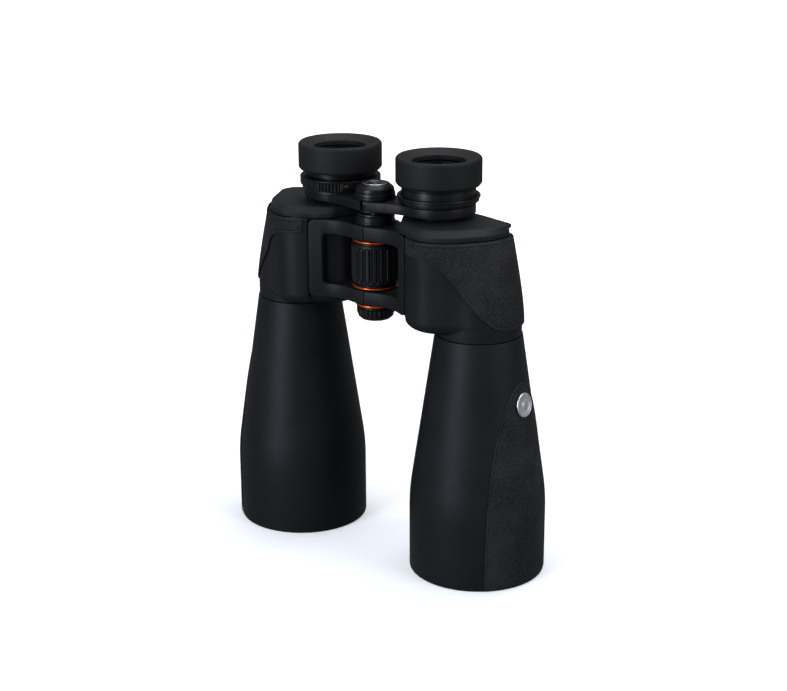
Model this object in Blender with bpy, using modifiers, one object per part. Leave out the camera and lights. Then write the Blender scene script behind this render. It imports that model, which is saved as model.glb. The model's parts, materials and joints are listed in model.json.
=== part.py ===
"""Large-aperture Porro-prism astronomy binoculars, standing on the rims of their two objective barrels.

Origin: on the floor, midway between the two objective axes. +Z runs up the barrels to the eyecups,
+X to the right of someone facing the hinge, and +Y away from them. The hinge axis is at Y = HINGE_Y.
"""
import math

import bmesh
import bpy
from mathutils import Matrix, Vector

MM = 0.001
GAP = 0.3                                # clearance between neighbouring pieces, mm

# Optical layout, mm
HINGE_Y = -10.0
OBJECTIVE = (70.7, 0.0)                  # objective axis of the right half
EYEPIECE = (38.0, 3.5)                   # eyepiece axis of the right half, hinge fully open
PRISM_TURN = (52.6, -14.6)               # where the light goes from the upper prism to the lower one

# Barrels and objectives, mm
BARREL_BASE_R = 41.8
BARREL_NECK_R = 26.0
CONE_START_Z = 40.0
CONE_SLOPE = 0.1486
BARREL_TOP_Z = 152.4
RECESS_R = 38.6
RECESS_DEPTH = 12.0
CELL_R = 36.0
CELL_TOP_Z = 27.0
PANEL_SKIN = 0.4
PANEL_HALF_ANGLE = 48.3
PANEL_TOP_Z = 126.5

# Prism housings and covers, mm
RING_R = 26.0
HOUSING_BASE_Z = BARREL_TOP_Z + GAP
SHELF_UNDERSIDE_Z = 156.2
FLARE_START_Z = 163.0
HOUSING_TOP_Z = 212.5
HOUSING_WALL = 2.0
HOUSING_FLOOR_Z = 159.4
PLATE_MID_Z = 184.5
PLATE_THICK = 1.8
COVER_INSET = 1.3
COVER_BOTTOM_Z = HOUSING_TOP_Z + GAP
COVER_EDGE_Z = 215.7
COVER_TOP_Z = 219.0
# Lower border of the housing's grip panel: place counted in outline points, and height.
HOUSING_PANEL_BORDER = [
    (4.3, 203.5), (5.5, 203.0), (6.2, 202.0), (6.9, 199.2), (7.5, 193.3), (8.1, 184.8),
    (8.7, 176.4), (9.3, 167.2), (9.8, 161.5), (10.3, 159.6), (12.6, 159.6), (13.2, 162.5),
    (13.8, 172.0), (14.4, 186.0), (15.0, 198.0), (15.8, 203.0)]
PRISM_LENGTH = 42.0
PRISM_WIDTH = 20.0
PRISM_BLUNT = 1.4                        # how much of each prism's roof edge is ground off
STRAP_LUG = (66.4, 21.8)                 # middle of the right lug's foot, on the housing's wall
STRAP_LUG_TURN = -17.0                   # degrees, along the wall there
STRAP_LUG_THICK = 2.4

# Hinge, focus wheel and tripod socket, mm
LUG_R = 15.15
LUG_SKIRT_R = 12.9
LUG_RING_R = 12.5
SHAFT_R = 6.0
LOWER_LUG = (162.8, 171.3)
UPPER_LUG = (203.2, 212.0)
WHEEL_RING_LIFT = 1.0                    # space between a lug and the wheel ring next to it
SEAM_X = 1.9                             # front seam between the two halves' skirts
SKIRT_END = 62.0                         # back end of a lug's skirt, degrees from +X
WINDOW_X = 29.4
WHEEL_R = 14.8
WHEEL_Z = (173.6, 200.9)
COLLAR_TOP_Z = 218.5
SOCKET_DEPTH_Z = 171.4                   # blind end of the tripod socket
CAP_BOTTOM_Z = 150.9
CAP_TOP_Z = 160.0
CAP_R = 11.8

# Eyepieces, mm
ARM_Z = (221.3, 227.2)
ARM_RING_R = 22.5
POST_R = 8.0
TUBE_R = 19.0
SLEEVE_R = 14.5
NECK_R = 22.5
EYECUP_R = 26.1
EYECUP_Z = (238.5, 255.7)
DIOPTER_Z = (225.8, 234.6)
FLANGE_Z = (228.8, 232.4)
FLANGE_R = 25.2
BADGE_Z = 113.1
BADGE_R = 7.4

# Fineness
BARREL_STEPS = 32
RING_STEPS = 24
SMALL_STEPS = 16
SAMPLES = 2                              # points per stretch of a lofted outline

# Outline of the right housing, seen from above, mm: at its rim, and where it is widest low down.
# The first four points follow the back of the hinge bracket.
RIM_OUTLINE = [
    (22.4, -13.0), (26.0, -17.0), (30.0, -21.2), (37.2, -27.2), (38.4, -30.6), (46.0, -34.9),
    (54.0, -36.0), (63.0, -33.2), (71.5, -27.2), (78.3, -19.0), (84.8, -9.3), (87.5, 0.5),
    (86.8, 9.0), (82.0, 15.2), (73.0, 19.3), (61.0, 22.8), (49.0, 24.8), (38.0, 24.8),
    (26.5, 20.5), (19.0, 12.0), (17.6, 2.0), (20.4, -7.0)]
LOW_OUTLINE = [
    (22.4, -13.0), (26.0, -17.0), (30.0, -21.2), (37.2, -27.2), (38.4, -30.6), (46.0, -34.8),
    (55.0, -35.3), (65.0, -31.0), (74.0, -26.6), (84.5, -22.2), (93.2, -13.0), (96.9, 0.5),
    (93.5, 13.0), (84.5, 22.3), (73.0, 26.2), (61.0, 26.6), (49.0, 25.6), (38.0, 24.8),
    (26.5, 20.5), (19.0, 12.0), (17.6, 2.0), (20.4, -7.0)]
# Front of the prism cover's edge, which passes over the bracket in place of the rim's recess.
COVER_FRONT = [(24.6, -21.8), (30.2, -27.2), (35.6, -29.8), (40.4, -32.6)]
# Outline of the flat top of the prism cover: its front edge is set back by a broad chamfer.
COVER_TOP_OUTLINE = [
    (24.9, -13.2), (28.4, -18.8), (33.0, -22.0), (37.0, -24.6), (41.0, -27.0), (46.0, -29.2),
    (53.0, -30.2), (60.5, -27.6), (67.5, -20.8), (74.5, -13.0), (81.0, -5.0), (84.3, 1.5),
    (83.4, 8.6), (79.0, 12.8), (70.5, 16.4), (60.0, 19.4), (48.5, 21.6), (38.0, 21.8),
    (27.9, 18.9), (20.9, 11.5), (19.3, 2.0), (21.7, -6.9)]

SIDES = {"left": -1.0, "right": 1.0}


# ---------------------------------------------------------------- scene, materials, placing

def clear_scene():
    for obj in list(bpy.data.objects):
        bpy.data.objects.remove(obj, do_unlink=True)


def new_collection(name):
    collection = bpy.data.collections.new(name)
    bpy.context.scene.collection.children.link(collection)
    return collection


def make_material(name, colour, roughness, metallic=0.0, transmission=0.0):
    material = bpy.data.materials.new(name)
    material.use_nodes = True
    shader = material.node_tree.nodes["Principled BSDF"]
    shader.inputs["Base Color"].default_value = (*colour, 1.0)
    shader.inputs["Roughness"].default_value = roughness
    shader.inputs["Metallic"].default_value = metallic
    shader.inputs["Transmission Weight"].default_value = transmission
    return material


clear_scene()
PARTS = new_collection("astronomy_binoculars")
CUTTERS = new_collection("cutters")

ARMOUR = ((0.020, 0.021, 0.024), 0.50)
GRAINED = ((0.026, 0.026, 0.028), 0.75)
GLOSS_BLACK = ((0.010, 0.010, 0.011), 0.28)
ORANGE = ((0.85, 0.20, 0.03), 0.32, 0.8)
BLACK_METAL = ((0.04, 0.04, 0.045), 0.45, 0.7)
STEEL = ((0.55, 0.56, 0.58), 0.30, 1.0)
BRASS = ((0.70, 0.52, 0.22), 0.30, 1.0)
LENS_GLASS = ((0.55, 0.75, 0.68), 0.03, 0.0, 0.9)
PRISM_GLASS = ((0.85, 0.90, 0.92), 0.05, 0.0, 0.9)
SILVER = ((0.75, 0.75, 0.76), 0.25, 1.0)


def finish(obj, name, look, smooth=True):
    """Name an object after its node and give it a material of its own."""
    obj.name = name
    obj.data.name = name
    obj.data.materials.clear()
    obj.data.materials.append(make_material(name, *look))
    if smooth:
        obj.data.shade_smooth()
        obj.data.set_sharp_from_angle(angle=math.radians(35.0))
    PARTS.objects.link(obj)
    return obj


def as_cutter(obj, name):
    obj.name = name
    obj.hide_render = True
    obj.display_type = "WIRE"
    CUTTERS.objects.link(obj)
    return obj


def add_boolean(obj, other, operation):
    modifier = obj.modifiers.new(operation.lower(), "BOOLEAN")
    modifier.operation = operation
    modifier.solver = "EXACT"
    modifier.object = other


def joint_empty(name, location):
    empty = bpy.data.objects.new(name, None)
    empty.location = Vector(location) * MM
    PARTS.objects.link(empty)
    return empty


def carry(parent, *objects):
    """Parent objects to a joint's empty without moving them."""
    for obj in objects:
        obj.parent = parent
        obj.matrix_parent_inverse = Matrix.Translation(-parent.location)


# ---------------------------------------------------------------- outlines and solids

def polar(centre, radius, angle):
    """The point at an angle in degrees on a circle."""
    turn = math.radians(angle)
    return (centre[0] + radius * math.cos(turn), centre[1] + radius * math.sin(turn))


def arc(centre, radius, start, end, count):
    """Points on an arc, from start to end in degrees."""
    return [polar(centre, radius, start + (end - start) * index / count) for index in range(count + 1)]


def circle(centre, radius, count):
    """Points once round a circle, the first not repeated."""
    return arc(centre, radius, 0.0, 360.0, count)[:-1]


def mirrored(points, side):
    return [(side * x, y) for x, y in points]


def smooth_closed(points, samples):
    """Closed Catmull-Rom curve through points, with a fixed number of samples to each stretch."""
    result = []
    count = len(points)
    for index in range(count):
        p0, p1, p2, p3 = (Vector(points[(index + step) % count]) for step in (-1, 0, 1, 2))
        for sample in range(samples):
            t = sample / samples
            a = 2.0 * p1 + (p2 - p0) * t
            b = (2.0 * p0 - 5.0 * p1 + 4.0 * p2 - p3) * t * t
            c = (3.0 * p1 - p0 - 3.0 * p2 + p3) * t * t * t
            result.append(tuple((a + b + c) * 0.5))
    return result


def offset_outline(points, distance):
    """Move a counter-clockwise outline outwards along its own normals."""
    result = []
    count = len(points)
    for index, point in enumerate(points):
        along = Vector(points[(index + 1) % count]) - Vector(points[index - 1])
        normal = Vector((along.y, -along.x)).normalized()
        result.append(tuple(Vector(point) + normal * distance))
    return result


def blend(first, second, amount):
    return [tuple(Vector(a).lerp(Vector(b), amount)) for a, b in zip(first, second)]


def turned(profile, centre, steps, closed=True):
    """Turned solid round a vertical axis; the profile runs down its outer side."""
    mesh = bpy.data.meshes.new("turned")
    edges = [(index, index + 1) for index in range(len(profile) - 1)]
    if closed:
        edges.append((len(profile) - 1, 0))
    mesh.from_pydata([(r * MM, 0.0, z * MM) for r, z in profile], edges, [])
    obj = bpy.data.objects.new("turned", mesh)
    obj.location = (centre[0] * MM, centre[1] * MM, 0.0)
    screw = obj.modifiers.new("turn", "SCREW")
    screw.steps = steps
    screw.render_steps = steps
    screw.use_merge_vertices = True
    screw.merge_threshold = 0.00001
    screw.use_smooth_shade = False
    return obj


def ring_profile(inner, outer, bottom, top, ease=0.0):
    """Profile of a plain ring, with its outer edges eased."""
    if ease == 0.0:
        return [(outer, top), (outer, bottom), (inner, bottom), (inner, top)]
    return [(outer - ease, top), (outer, top - ease), (outer, bottom + ease),
            (outer - ease, bottom), (inner, bottom), (inner, top)]


def plate(outlines, low, high):
    """Flat plate between two heights, from an outline and any holes in it, as a closed mesh."""
    curve = bpy.data.curves.new("plate", "CURVE")
    curve.dimensions = "2D"
    curve.fill_mode = "BOTH"
    curve.extrude = (high - low) * MM / 2.0
    for outline in outlines:
        spline = curve.splines.new("POLY")
        spline.points.add(len(outline) - 1)
        for point, (x, y) in zip(spline.points, outline):
            point.co = (x * MM, y * MM, 0.0, 1.0)
        spline.use_cyclic_u = True
    flat = bpy.data.objects.new("plate_curve", curve)
    flat.location.z = (low + high) * MM / 2.0
    PARTS.objects.link(flat)
    bpy.context.view_layer.update()
    evaluated = flat.evaluated_get(bpy.context.evaluated_depsgraph_get())
    mesh = bpy.data.meshes.new_from_object(evaluated)
    obj = bpy.data.objects.new("plate", mesh)
    obj.matrix_world = flat.matrix_world.copy()
    bpy.data.objects.remove(flat, do_unlink=True)
    clean = bmesh.new()
    clean.from_mesh(mesh)
    bmesh.ops.remove_doubles(clean, verts=clean.verts, dist=0.00001)
    bmesh.ops.recalc_face_normals(clean, faces=clean.faces)
    clean.to_mesh(mesh)
    clean.free()
    return obj


def skin(grid, wrap):
    """Closed solid from rows of points: wrapped rows with end caps, or rows joined end to end."""
    mesh = bpy.data.meshes.new("loft")
    build = bmesh.new()
    rows = [[build.verts.new(Vector(point) * MM) for point in row] for row in grid]
    width = len(rows[0])
    row_pairs = list(zip(rows, rows[1:]))
    if not wrap:
        row_pairs.append((rows[-1], rows[0]))
    for lower, upper in row_pairs:
        for index in range(width if wrap else width - 1):
            following = (index + 1) % width
            build.faces.new((lower[index], lower[following], upper[following], upper[index]))
    if wrap:
        build.faces.new(rows[0])
        build.faces.new(rows[-1])
    else:
        build.faces.new([row[0] for row in rows])
        build.faces.new([row[-1] for row in rows])
    bmesh.ops.triangulate(build, faces=build.faces)
    bmesh.ops.recalc_face_normals(build, faces=build.faces)
    build.to_mesh(mesh)
    build.free()
    return bpy.data.objects.new("loft", mesh)


def loft(sections):
    """Solid through outlines at their heights, capped at the first and the last."""
    return skin([[(x, y, z) for x, y in outline] for z, outline in sections], wrap=True)


# ---------------------------------------------------------------- barrels and objectives

def barrel_radius(z):
    """Outer radius of a barrel: a cylinder that eases into a cone."""
    ease = 20.0
    if z < CONE_START_Z:
        return BARREL_BASE_R
    if z < CONE_START_Z + ease:
        return BARREL_BASE_R - CONE_SLOPE * (z - CONE_START_Z) ** 2 / (2.0 * ease)
    return BARREL_BASE_R - CONE_SLOPE * (z - CONE_START_Z - ease / 2.0)


def barrel_profile():
    outer = [(barrel_radius(z), z) for z in (BARREL_TOP_Z, 60.0, 50.0, CONE_START_Z, 1.2)]
    rim = [(BARREL_BASE_R - 1.2, 0.0), (RECESS_R, 0.0), (RECESS_R, RECESS_DEPTH + 2.7)]
    cell = [(CELL_R, RECESS_DEPTH + 2.7), (CELL_R, CELL_TOP_Z), (CELL_R - 2.2, CELL_TOP_Z)]
    bore = [(CELL_R - 2.2, CONE_START_Z + 15.0), (BARREL_NECK_R - 3.4, BARREL_TOP_Z)]
    return outer + rim + cell + bore


def panel_half_angle(z):
    """Half the angle that the barrel's grip panel covers: an arch over nearly straight sides."""
    return PANEL_HALF_ANGLE * math.sqrt(max(0.0, 1.0 - (z / PANEL_TOP_Z) ** 3))


def barrel_panel(side):
    """Curved grip panel on the outer side of a barrel, a thin skin from the rim to its arch."""
    heights = [0.4, 40.0, 50.0, 60.0, 80.0, 96.0, 108.0, 116.0, 122.0, 125.5]
    columns = 10
    grid = []
    for offset, order in ((GAP + PANEL_SKIN, heights), (GAP, heights[::-1])):
        for z in order:
            radius = barrel_radius(z) + offset
            reach = panel_half_angle(z)
            row = arc(OBJECTIVE, radius, -reach, reach, columns)
            grid.append([(side * x, y, z) for x, y in row])
    return skin(grid, wrap=False)


def lens(centre, radius, rim, bulge, steps):
    """Lens between two rim heights, domed by its bulge below and above (negative is hollow)."""
    low, high = rim
    down, up = bulge
    upper = [(radius * t, high + up * (1.0 - t * t)) for t in (0.0, 0.4, 0.75, 1.0)]
    lower = [(radius * t, low - down * (1.0 - t * t)) for t in (1.0, 0.75, 0.4, 0.0)]
    return turned(upper + lower, centre, steps, closed=False)


def make_barrel_group(prefix, side):
    centre = (side * OBJECTIVE[0], OBJECTIVE[1])
    barrel = finish(turned(barrel_profile(), centre, BARREL_STEPS), prefix + "_barrel", ARMOUR)
    panel = finish(barrel_panel(side), prefix + "_barrel_grip_panel", GRAINED)
    seat = RECESS_DEPTH + 3.0
    front = lens(centre, CELL_R - GAP, (seat, seat + 4.6), (3.4, 3.0), RING_STEPS)
    rear = lens(centre, CELL_R - GAP, (seat + 4.9, seat + 11.4), (-3.0, -0.8), RING_STEPS)
    retainer = turned(ring_profile(CELL_R - 2.4, RECESS_R - GAP, RECESS_DEPTH, seat - 3.0 * GAP),
                      centre, RING_STEPS)
    return [barrel, panel,
            finish(front, prefix + "_objective_front_element", LENS_GLASS),
            finish(rear, prefix + "_objective_rear_element", LENS_GLASS),
            finish(retainer, prefix + "_objective_retainer", BLACK_METAL)]


# ---------------------------------------------------------------- prism housings and covers

def ring_outline(outline, radius):
    """The neck ring's circle, point for point under a housing outline."""
    axis = Vector(OBJECTIVE)
    return [tuple(axis + (Vector(point) - axis).normalized() * radius) for point in outline]


def housing_outline(z):
    """Outline of the right housing at a height between its flare and its rim."""
    rise = min(1.0, max(0.0, (z - FLARE_START_Z) / (HOUSING_TOP_Z - FLARE_START_Z)))
    points = blend(LOW_OUTLINE, RIM_OUTLINE, rise ** 1.3)
    return smooth_closed(points, SAMPLES)


def make_housing(side):
    """Open-topped shell: inner floor, up the inside, over the rim, and down to the neck ring."""
    low = housing_outline(FLARE_START_Z)
    ring = ring_outline(low, RING_R)
    inside = [(z, offset_outline(housing_outline(z), -HOUSING_WALL))
              for z in (HOUSING_FLOOR_Z, 175.0, HOUSING_TOP_Z)]
    outside = [(z, housing_outline(z)) for z in (HOUSING_TOP_Z, 200.0, 187.0, 174.0, 160.4)]
    under = [(158.2, blend(low, ring, 0.05)), (157.0, blend(low, ring, 0.16)),
             (SHELF_UNDERSIDE_Z + 0.2, blend(low, ring, 0.36)), (SHELF_UNDERSIDE_Z, ring),
             (HOUSING_BASE_Z, ring)]
    sections = [(z, mirrored(outline, side)) for z, outline in inside + outside + under]
    shell = loft(sections)
    bore = turned([(0.0, 162.0), (BARREL_NECK_R - 4.0, 162.0), (BARREL_NECK_R - 4.0, 150.0),
                   (0.0, 150.0)], (side * OBJECTIVE[0], OBJECTIVE[1]), RING_STEPS, closed=False)
    add_boolean(shell, as_cutter(bore, "light_bore"), "DIFFERENCE")
    return shell


def panel_bottom(position):
    """Lower border of the housing's grip panel along the outline, from its front end to its back."""
    for (start, low), (end, high) in zip(HOUSING_PANEL_BORDER, HOUSING_PANEL_BORDER[1:]):
        if position <= end:
            return low + (high - low) * (position - start) / (end - start)
    return HOUSING_PANEL_BORDER[-1][1]


def housing_panel(side):
    """Grip skin that follows the rim and sweeps down over the outer side of the housing."""
    columns = 23
    rows = 4
    front, back = HOUSING_PANEL_BORDER[0][0], HOUSING_PANEL_BORDER[-1][0]
    layers = []
    for offset, order in ((2.0 * GAP + 0.5, range(rows + 1)), (2.0 * GAP, range(rows, -1, -1))):
        for row in order:
            points = []
            for column in range(columns + 1):
                position = front + (back - front) * column / columns
                low = panel_bottom(position)
                z = low + (HOUSING_TOP_Z - 2.0 * GAP - low) * row / rows
                moved = offset_outline(housing_outline(z), offset)
                index = int(position * SAMPLES)
                share = position * SAMPLES - index
                here = Vector(moved[index]).lerp(Vector(moved[index + 1]), share)
                points.append((side * here.x, here.y, z))
            layers.append(points)
    return skin(layers, wrap=False)


def make_cover(side):
    """Lid over the prisms: open below, a vertical edge, a chamfer and a flat top."""
    rim = smooth_closed(RIM_OUTLINE[:1] + COVER_FRONT + RIM_OUTLINE[5:], SAMPLES)
    edge = offset_outline(rim, -COVER_INSET)
    inner = offset_outline(edge, -2.2)
    top = smooth_closed(COVER_TOP_OUTLINE, SAMPLES)
    levels = [(216.2, inner), (COVER_BOTTOM_Z, inner), (COVER_BOTTOM_Z, edge),
              (COVER_EDGE_Z, edge), (COVER_TOP_Z, top)]
    cover = loft([(z, mirrored(outline, side)) for z, outline in levels])
    hole = turned([(0.0, 222.0), (SLEEVE_R + GAP, 222.0), (SLEEVE_R + GAP, 210.0), (0.0, 210.0)],
                  (side * EYEPIECE[0], EYEPIECE[1]), RING_STEPS, closed=False)
    add_boolean(cover, as_cutter(hole, "sleeve_hole"), "DIFFERENCE")
    return cover


def make_shelf(side):
    """Plate across the housing that carries one prism on each face, with three light openings."""
    outline = offset_outline(housing_outline(PLATE_MID_Z), -HOUSING_WALL - 0.6)
    holes = [circle(centre, 8.5, SMALL_STEPS) for centre in (OBJECTIVE, PRISM_TURN, EYEPIECE)]
    splines = [mirrored(points, side) for points in [outline] + holes]
    return plate(splines, PLATE_MID_Z - PLATE_THICK / 2.0, PLATE_MID_Z + PLATE_THICK / 2.0)


def make_prism(side, start, end, base_z, up):
    """Right-angle prism lying on its long face between two optical axes, its roof edge blunted."""
    half = PRISM_LENGTH / 2.0
    crest = half - PRISM_BLUNT
    roof = [(-half, 0.0), (half, 0.0), (PRISM_BLUNT, crest), (-PRISM_BLUNT, crest)]
    prism = plate([roof], -PRISM_WIDTH / 2.0, PRISM_WIDTH / 2.0)
    middle = (Vector(start) + Vector(end)) / 2.0
    along = Vector(end) - Vector(start)
    heading = math.atan2(along.y, side * along.x)
    place = Matrix.Translation((side * middle.x * MM, middle.y * MM, base_z * MM))
    stand = Matrix.Rotation(heading, 4, "Z") @ Matrix.Rotation(math.radians(90.0 * up), 4, "X")
    prism.matrix_world = place @ stand
    return prism


def make_strap_lug(side):
    """Lug for the neck strap on the outer back corner of the housing, with an upright slot."""
    outline = [(-8.6, 0.0), (8.6, 0.0), (8.6, 4.6), (6.9, 7.4), (-6.9, 7.4), (-8.6, 4.6)]
    slot = [(-6.4, 0.9), (6.4, 0.9), (6.4, 6.3), (-6.4, 6.3)]
    turn = Matrix.Rotation(math.radians(STRAP_LUG_TURN), 2)
    foot = Vector(STRAP_LUG)
    splines = [mirrored([tuple(foot + turn @ Vector(point)) for point in points], side)
               for points in (outline, slot)]
    low = HOUSING_TOP_Z - 0.2
    return plate(splines, low, low + STRAP_LUG_THICK)


def make_housing_group(prefix, side):
    upper_base = PLATE_MID_Z + PLATE_THICK / 2.0 + GAP
    lower_base = PLATE_MID_Z - PLATE_THICK / 2.0 - GAP
    upper = make_prism(side, OBJECTIVE, PRISM_TURN, upper_base, 1.0)
    lower = make_prism(side, PRISM_TURN, EYEPIECE, lower_base, -1.0)
    return [finish(make_housing(side), prefix + "_prism_housing", ARMOUR),
            finish(housing_panel(side), prefix + "_housing_grip_panel", GRAINED),
            finish(make_cover(side), prefix + "_prism_cover", ARMOUR),
            finish(make_shelf(side), prefix + "_prism_shelf", BLACK_METAL, smooth=False),
            finish(upper, prefix + "_upper_prism", PRISM_GLASS, smooth=False),
            finish(lower, prefix + "_lower_prism", PRISM_GLASS, smooth=False),
            finish(make_strap_lug(side), prefix + "_strap_lug", GLOSS_BLACK, smooth=False)]


# ---------------------------------------------------------------- hinge

def knuckle(side, low, high, bore, front, outer=LUG_RING_R):
    """Knuckle ring that reaches out to its own half's skirt and stays clear of the other's."""
    centre = (0.0, HINGE_Y)
    own = arc(centre, LUG_SKIRT_R + 0.5, front + 1.5, SKIRT_END - 4.0, 8)
    other = arc(centre, outer, SKIRT_END + 4.0, front + 359.0, 12)
    hole = circle(centre, bore, SMALL_STEPS)
    return plate([mirrored(own + other, side), mirrored(hole, side)], low, high)


def lug_heights(span, side):
    """The left half takes the lower part of a lug's height and the right half the upper part."""
    low, high = span
    middle = (low + high) / 2.0
    if side < 0.0:
        return low + 0.05, middle - GAP / 2.0
    return middle + GAP / 2.0, high - 0.05


def make_bracket(side):
    """Side plate with two arms round an open window, ending in the skirts of the hinge lugs."""
    wall = offset_outline(housing_outline(HOUSING_TOP_Z - 10.0), 0.4)
    back = [wall[index] for index in range(3 * SAMPLES, -1, -1)]
    seam = GAP / 2.0 + SEAM_X * side
    seam_angle = math.degrees(math.asin(seam / LUG_SKIRT_R)) - 90.0
    front = [(seam, HINGE_Y - LUG_R + 0.25), (6.0, -24.3), (10.0, -23.2), (15.0, -22.4), (20.0, -22.5),
             (25.0, -23.8), (29.4, -25.9), (33.8, -28.2), (37.3, -30.2)]
    skirt_end = [(19.0, -4.5), polar((0.0, HINGE_Y), LUG_R, SKIRT_END)]
    inner = arc((0.0, HINGE_Y), LUG_SKIRT_R, SKIRT_END, seam_angle, 12)
    body = plate([mirrored(front + back + skirt_end + inner, side)], LOWER_LUG[0], UPPER_LUG[1])
    corner = 3.0
    low, high = LOWER_LUG[1], UPPER_LUG[0]
    window = ([(-8.0, low), (WINDOW_X - corner, low)]
              + arc((WINDOW_X - corner, low + corner), corner, -90.0, 0.0, 4)[1:]
              + arc((WINDOW_X - corner, high - corner), corner, 0.0, 90.0, 4)
              + [(-8.0, high)])
    cutter = plate([mirrored(window, side)], -30.0, 45.0)
    cutter.matrix_world = Matrix.Rotation(math.radians(90.0), 4, "X") @ cutter.matrix_world
    add_boolean(body, as_cutter(cutter, "bracket_window"), "DIFFERENCE")
    for span in (LOWER_LUG, UPPER_LUG):
        ring = knuckle(side, *lug_heights(span, side), SHAFT_R + GAP, seam_angle)
        add_boolean(body, as_cutter(ring, "knuckle"), "UNION")
    return body


def make_hinge_core():
    axis = (0.0, HINGE_Y)
    tube = turned(ring_profile(4.4, SHAFT_R, 202.4, 218.2), axis, SMALL_STEPS)
    pin = turned([(0.0, 172.1), (SHAFT_R, 172.1), (SHAFT_R, 162.6), (5.0, 162.6),
                  (5.0, SOCKET_DEPTH_Z), (0.0, SOCKET_DEPTH_Z)], axis, SMALL_STEPS, closed=False)
    bush = turned(ring_profile(3.1, 5.0 - GAP, 162.7, SOCKET_DEPTH_Z - GAP), axis, SMALL_STEPS)
    collar = turned(ring_profile(SHAFT_R + GAP, 12.5, UPPER_LUG[1] + GAP, COLLAR_TOP_Z, 0.6),
                    axis, RING_STEPS)
    return [finish(tube, "hinge_tube", STEEL), finish(pin, "hinge_pin", STEEL),
            finish(bush, "tripod_bush", BRASS), finish(collar, "hinge_collar", GLOSS_BLACK)]


def make_focus_wheel():
    axis = (0.0, HINGE_Y)
    low, high = WHEEL_Z
    sleeve_low, sleeve_high = low + 1.0, high - 1.0
    drum_r = 13.0
    lip_r = WHEEL_R - 0.7
    core = [(lip_r, high), (lip_r, sleeve_high), (drum_r, sleeve_high), (drum_r, sleeve_low),
            (lip_r, sleeve_low), (lip_r, low), (4.5, low), (4.5, high)]
    grip = [(lip_r, sleeve_high - GAP), (WHEEL_R, sleeve_high - 1.4), (WHEEL_R, sleeve_low + 1.4),
            (lip_r, sleeve_low + GAP), (drum_r + GAP, sleeve_low + GAP),
            (drum_r + GAP, sleeve_high - GAP)]
    below = LOWER_LUG[1] + WHEEL_RING_LIFT
    above = UPPER_LUG[0] - WHEEL_RING_LIFT
    lower = turned(ring_profile(8.0, 14.2, below, low - GAP), axis, RING_STEPS)
    upper = turned(ring_profile(8.0, 14.0, high + GAP, above), axis, RING_STEPS)
    return [finish(turned(core, axis, RING_STEPS), "focus_wheel_core", GLOSS_BLACK),
            finish(turned(grip, axis, RING_STEPS), "focus_wheel_grip", GRAINED),
            finish(lower, "lower_wheel_ring", ORANGE), finish(upper, "upper_wheel_ring", ORANGE)]


def make_tripod_cap():
    axis = (0.0, HINGE_Y)
    low, high = CAP_BOTTOM_Z, CAP_TOP_Z
    cap = [(0.0, 169.0), (2.8, 169.0), (2.8, high), (CAP_R, high), (CAP_R, low + 4.2),
           (CAP_R - 0.7, low + 1.8), (CAP_R - 2.4, low + 0.4), (CAP_R - 4.3, low), (0.0, low)]
    ring = turned(ring_profile(3.2, 12.5, high + GAP, LOWER_LUG[0] - 4.0 * GAP), axis, RING_STEPS)
    return (finish(turned(cap, axis, SMALL_STEPS, closed=False), "tripod_cap", GLOSS_BLACK),
            finish(ring, "tripod_cap_ring", ORANGE))


# ---------------------------------------------------------------- eyepieces

def make_arm(side):
    """Arm from the bridge post's knuckle out to the ring that holds one eyepiece."""
    low, high = ARM_Z
    slot = 1.25
    front = [(slot, -23.3), (11.0, -21.6), (18.0, -19.5), (24.5, -18.4)]
    outline = (front + arc(EYEPIECE, ARM_RING_R, -112.0, 150.0, 18)
               + [polar((0.0, HINGE_Y), LUG_R - 0.4, SKIRT_END)]
               + arc((0.0, HINGE_Y), LUG_SKIRT_R - 1.0, SKIRT_END, -84.0, 12))
    hole = circle(EYEPIECE, TUBE_R + GAP, RING_STEPS)
    body = plate([mirrored(outline, side), mirrored(hole, side)], low, high)
    knuckle_low, knuckle_high = lug_heights(ARM_Z, side)
    ring = knuckle(side, knuckle_low, knuckle_high, POST_R + GAP, -87.0, LUG_SKIRT_R - 1.4)
    add_boolean(body, as_cutter(ring, "arm_knuckle"), "UNION")
    if side < 0.0:
        relief = turned(ring_profile(TUBE_R - 1.0, 24.8, DIOPTER_Z[0] - GAP, high + 2.0),
                        (side * EYEPIECE[0], EYEPIECE[1]), RING_STEPS)
        add_boolean(body, as_cutter(relief, "diopter_relief"), "DIFFERENCE")
    return body


def make_bridge():
    axis = (0.0, HINGE_Y)
    post = [(0.0, 231.0), (POST_R - 0.4, 231.0), (POST_R, 230.6), (POST_R, 221.0), (11.0, 221.0),
            (11.0, 220.0), (4.6, 220.0), (4.6, 226.5), (0.0, 226.5)]
    screw = [(0.0, 226.0), (4.0, 226.0), (4.0, 178.0), (3.2, 177.2), (0.0, 177.2)]
    cap = [(7.6, 236.6), (11.7, 234.1), (12.1, 231.6), (12.6, 229.0), (12.6, ARM_Z[1] + GAP),
           (POST_R + GAP, ARM_Z[1] + GAP), (POST_R + GAP, 231.4), (0.0, 231.4)]
    cap_top = [(0.0, 236.0), (7.6, 236.0)]
    disc = [(0.0, 236.9), (6.6, 236.9), (7.2, 236.3), (0.0, 236.3)]
    return [finish(turned(post, axis, SMALL_STEPS, closed=False), "bridge_post", STEEL),
            finish(turned(screw, axis, SMALL_STEPS, closed=False), "focus_screw", STEEL),
            finish(turned(cap_top + cap, axis, RING_STEPS, closed=False), "bridge_cap", GLOSS_BLACK),
            finish(turned(disc, axis, SMALL_STEPS, closed=False), "bridge_emblem", SILVER)]


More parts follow.
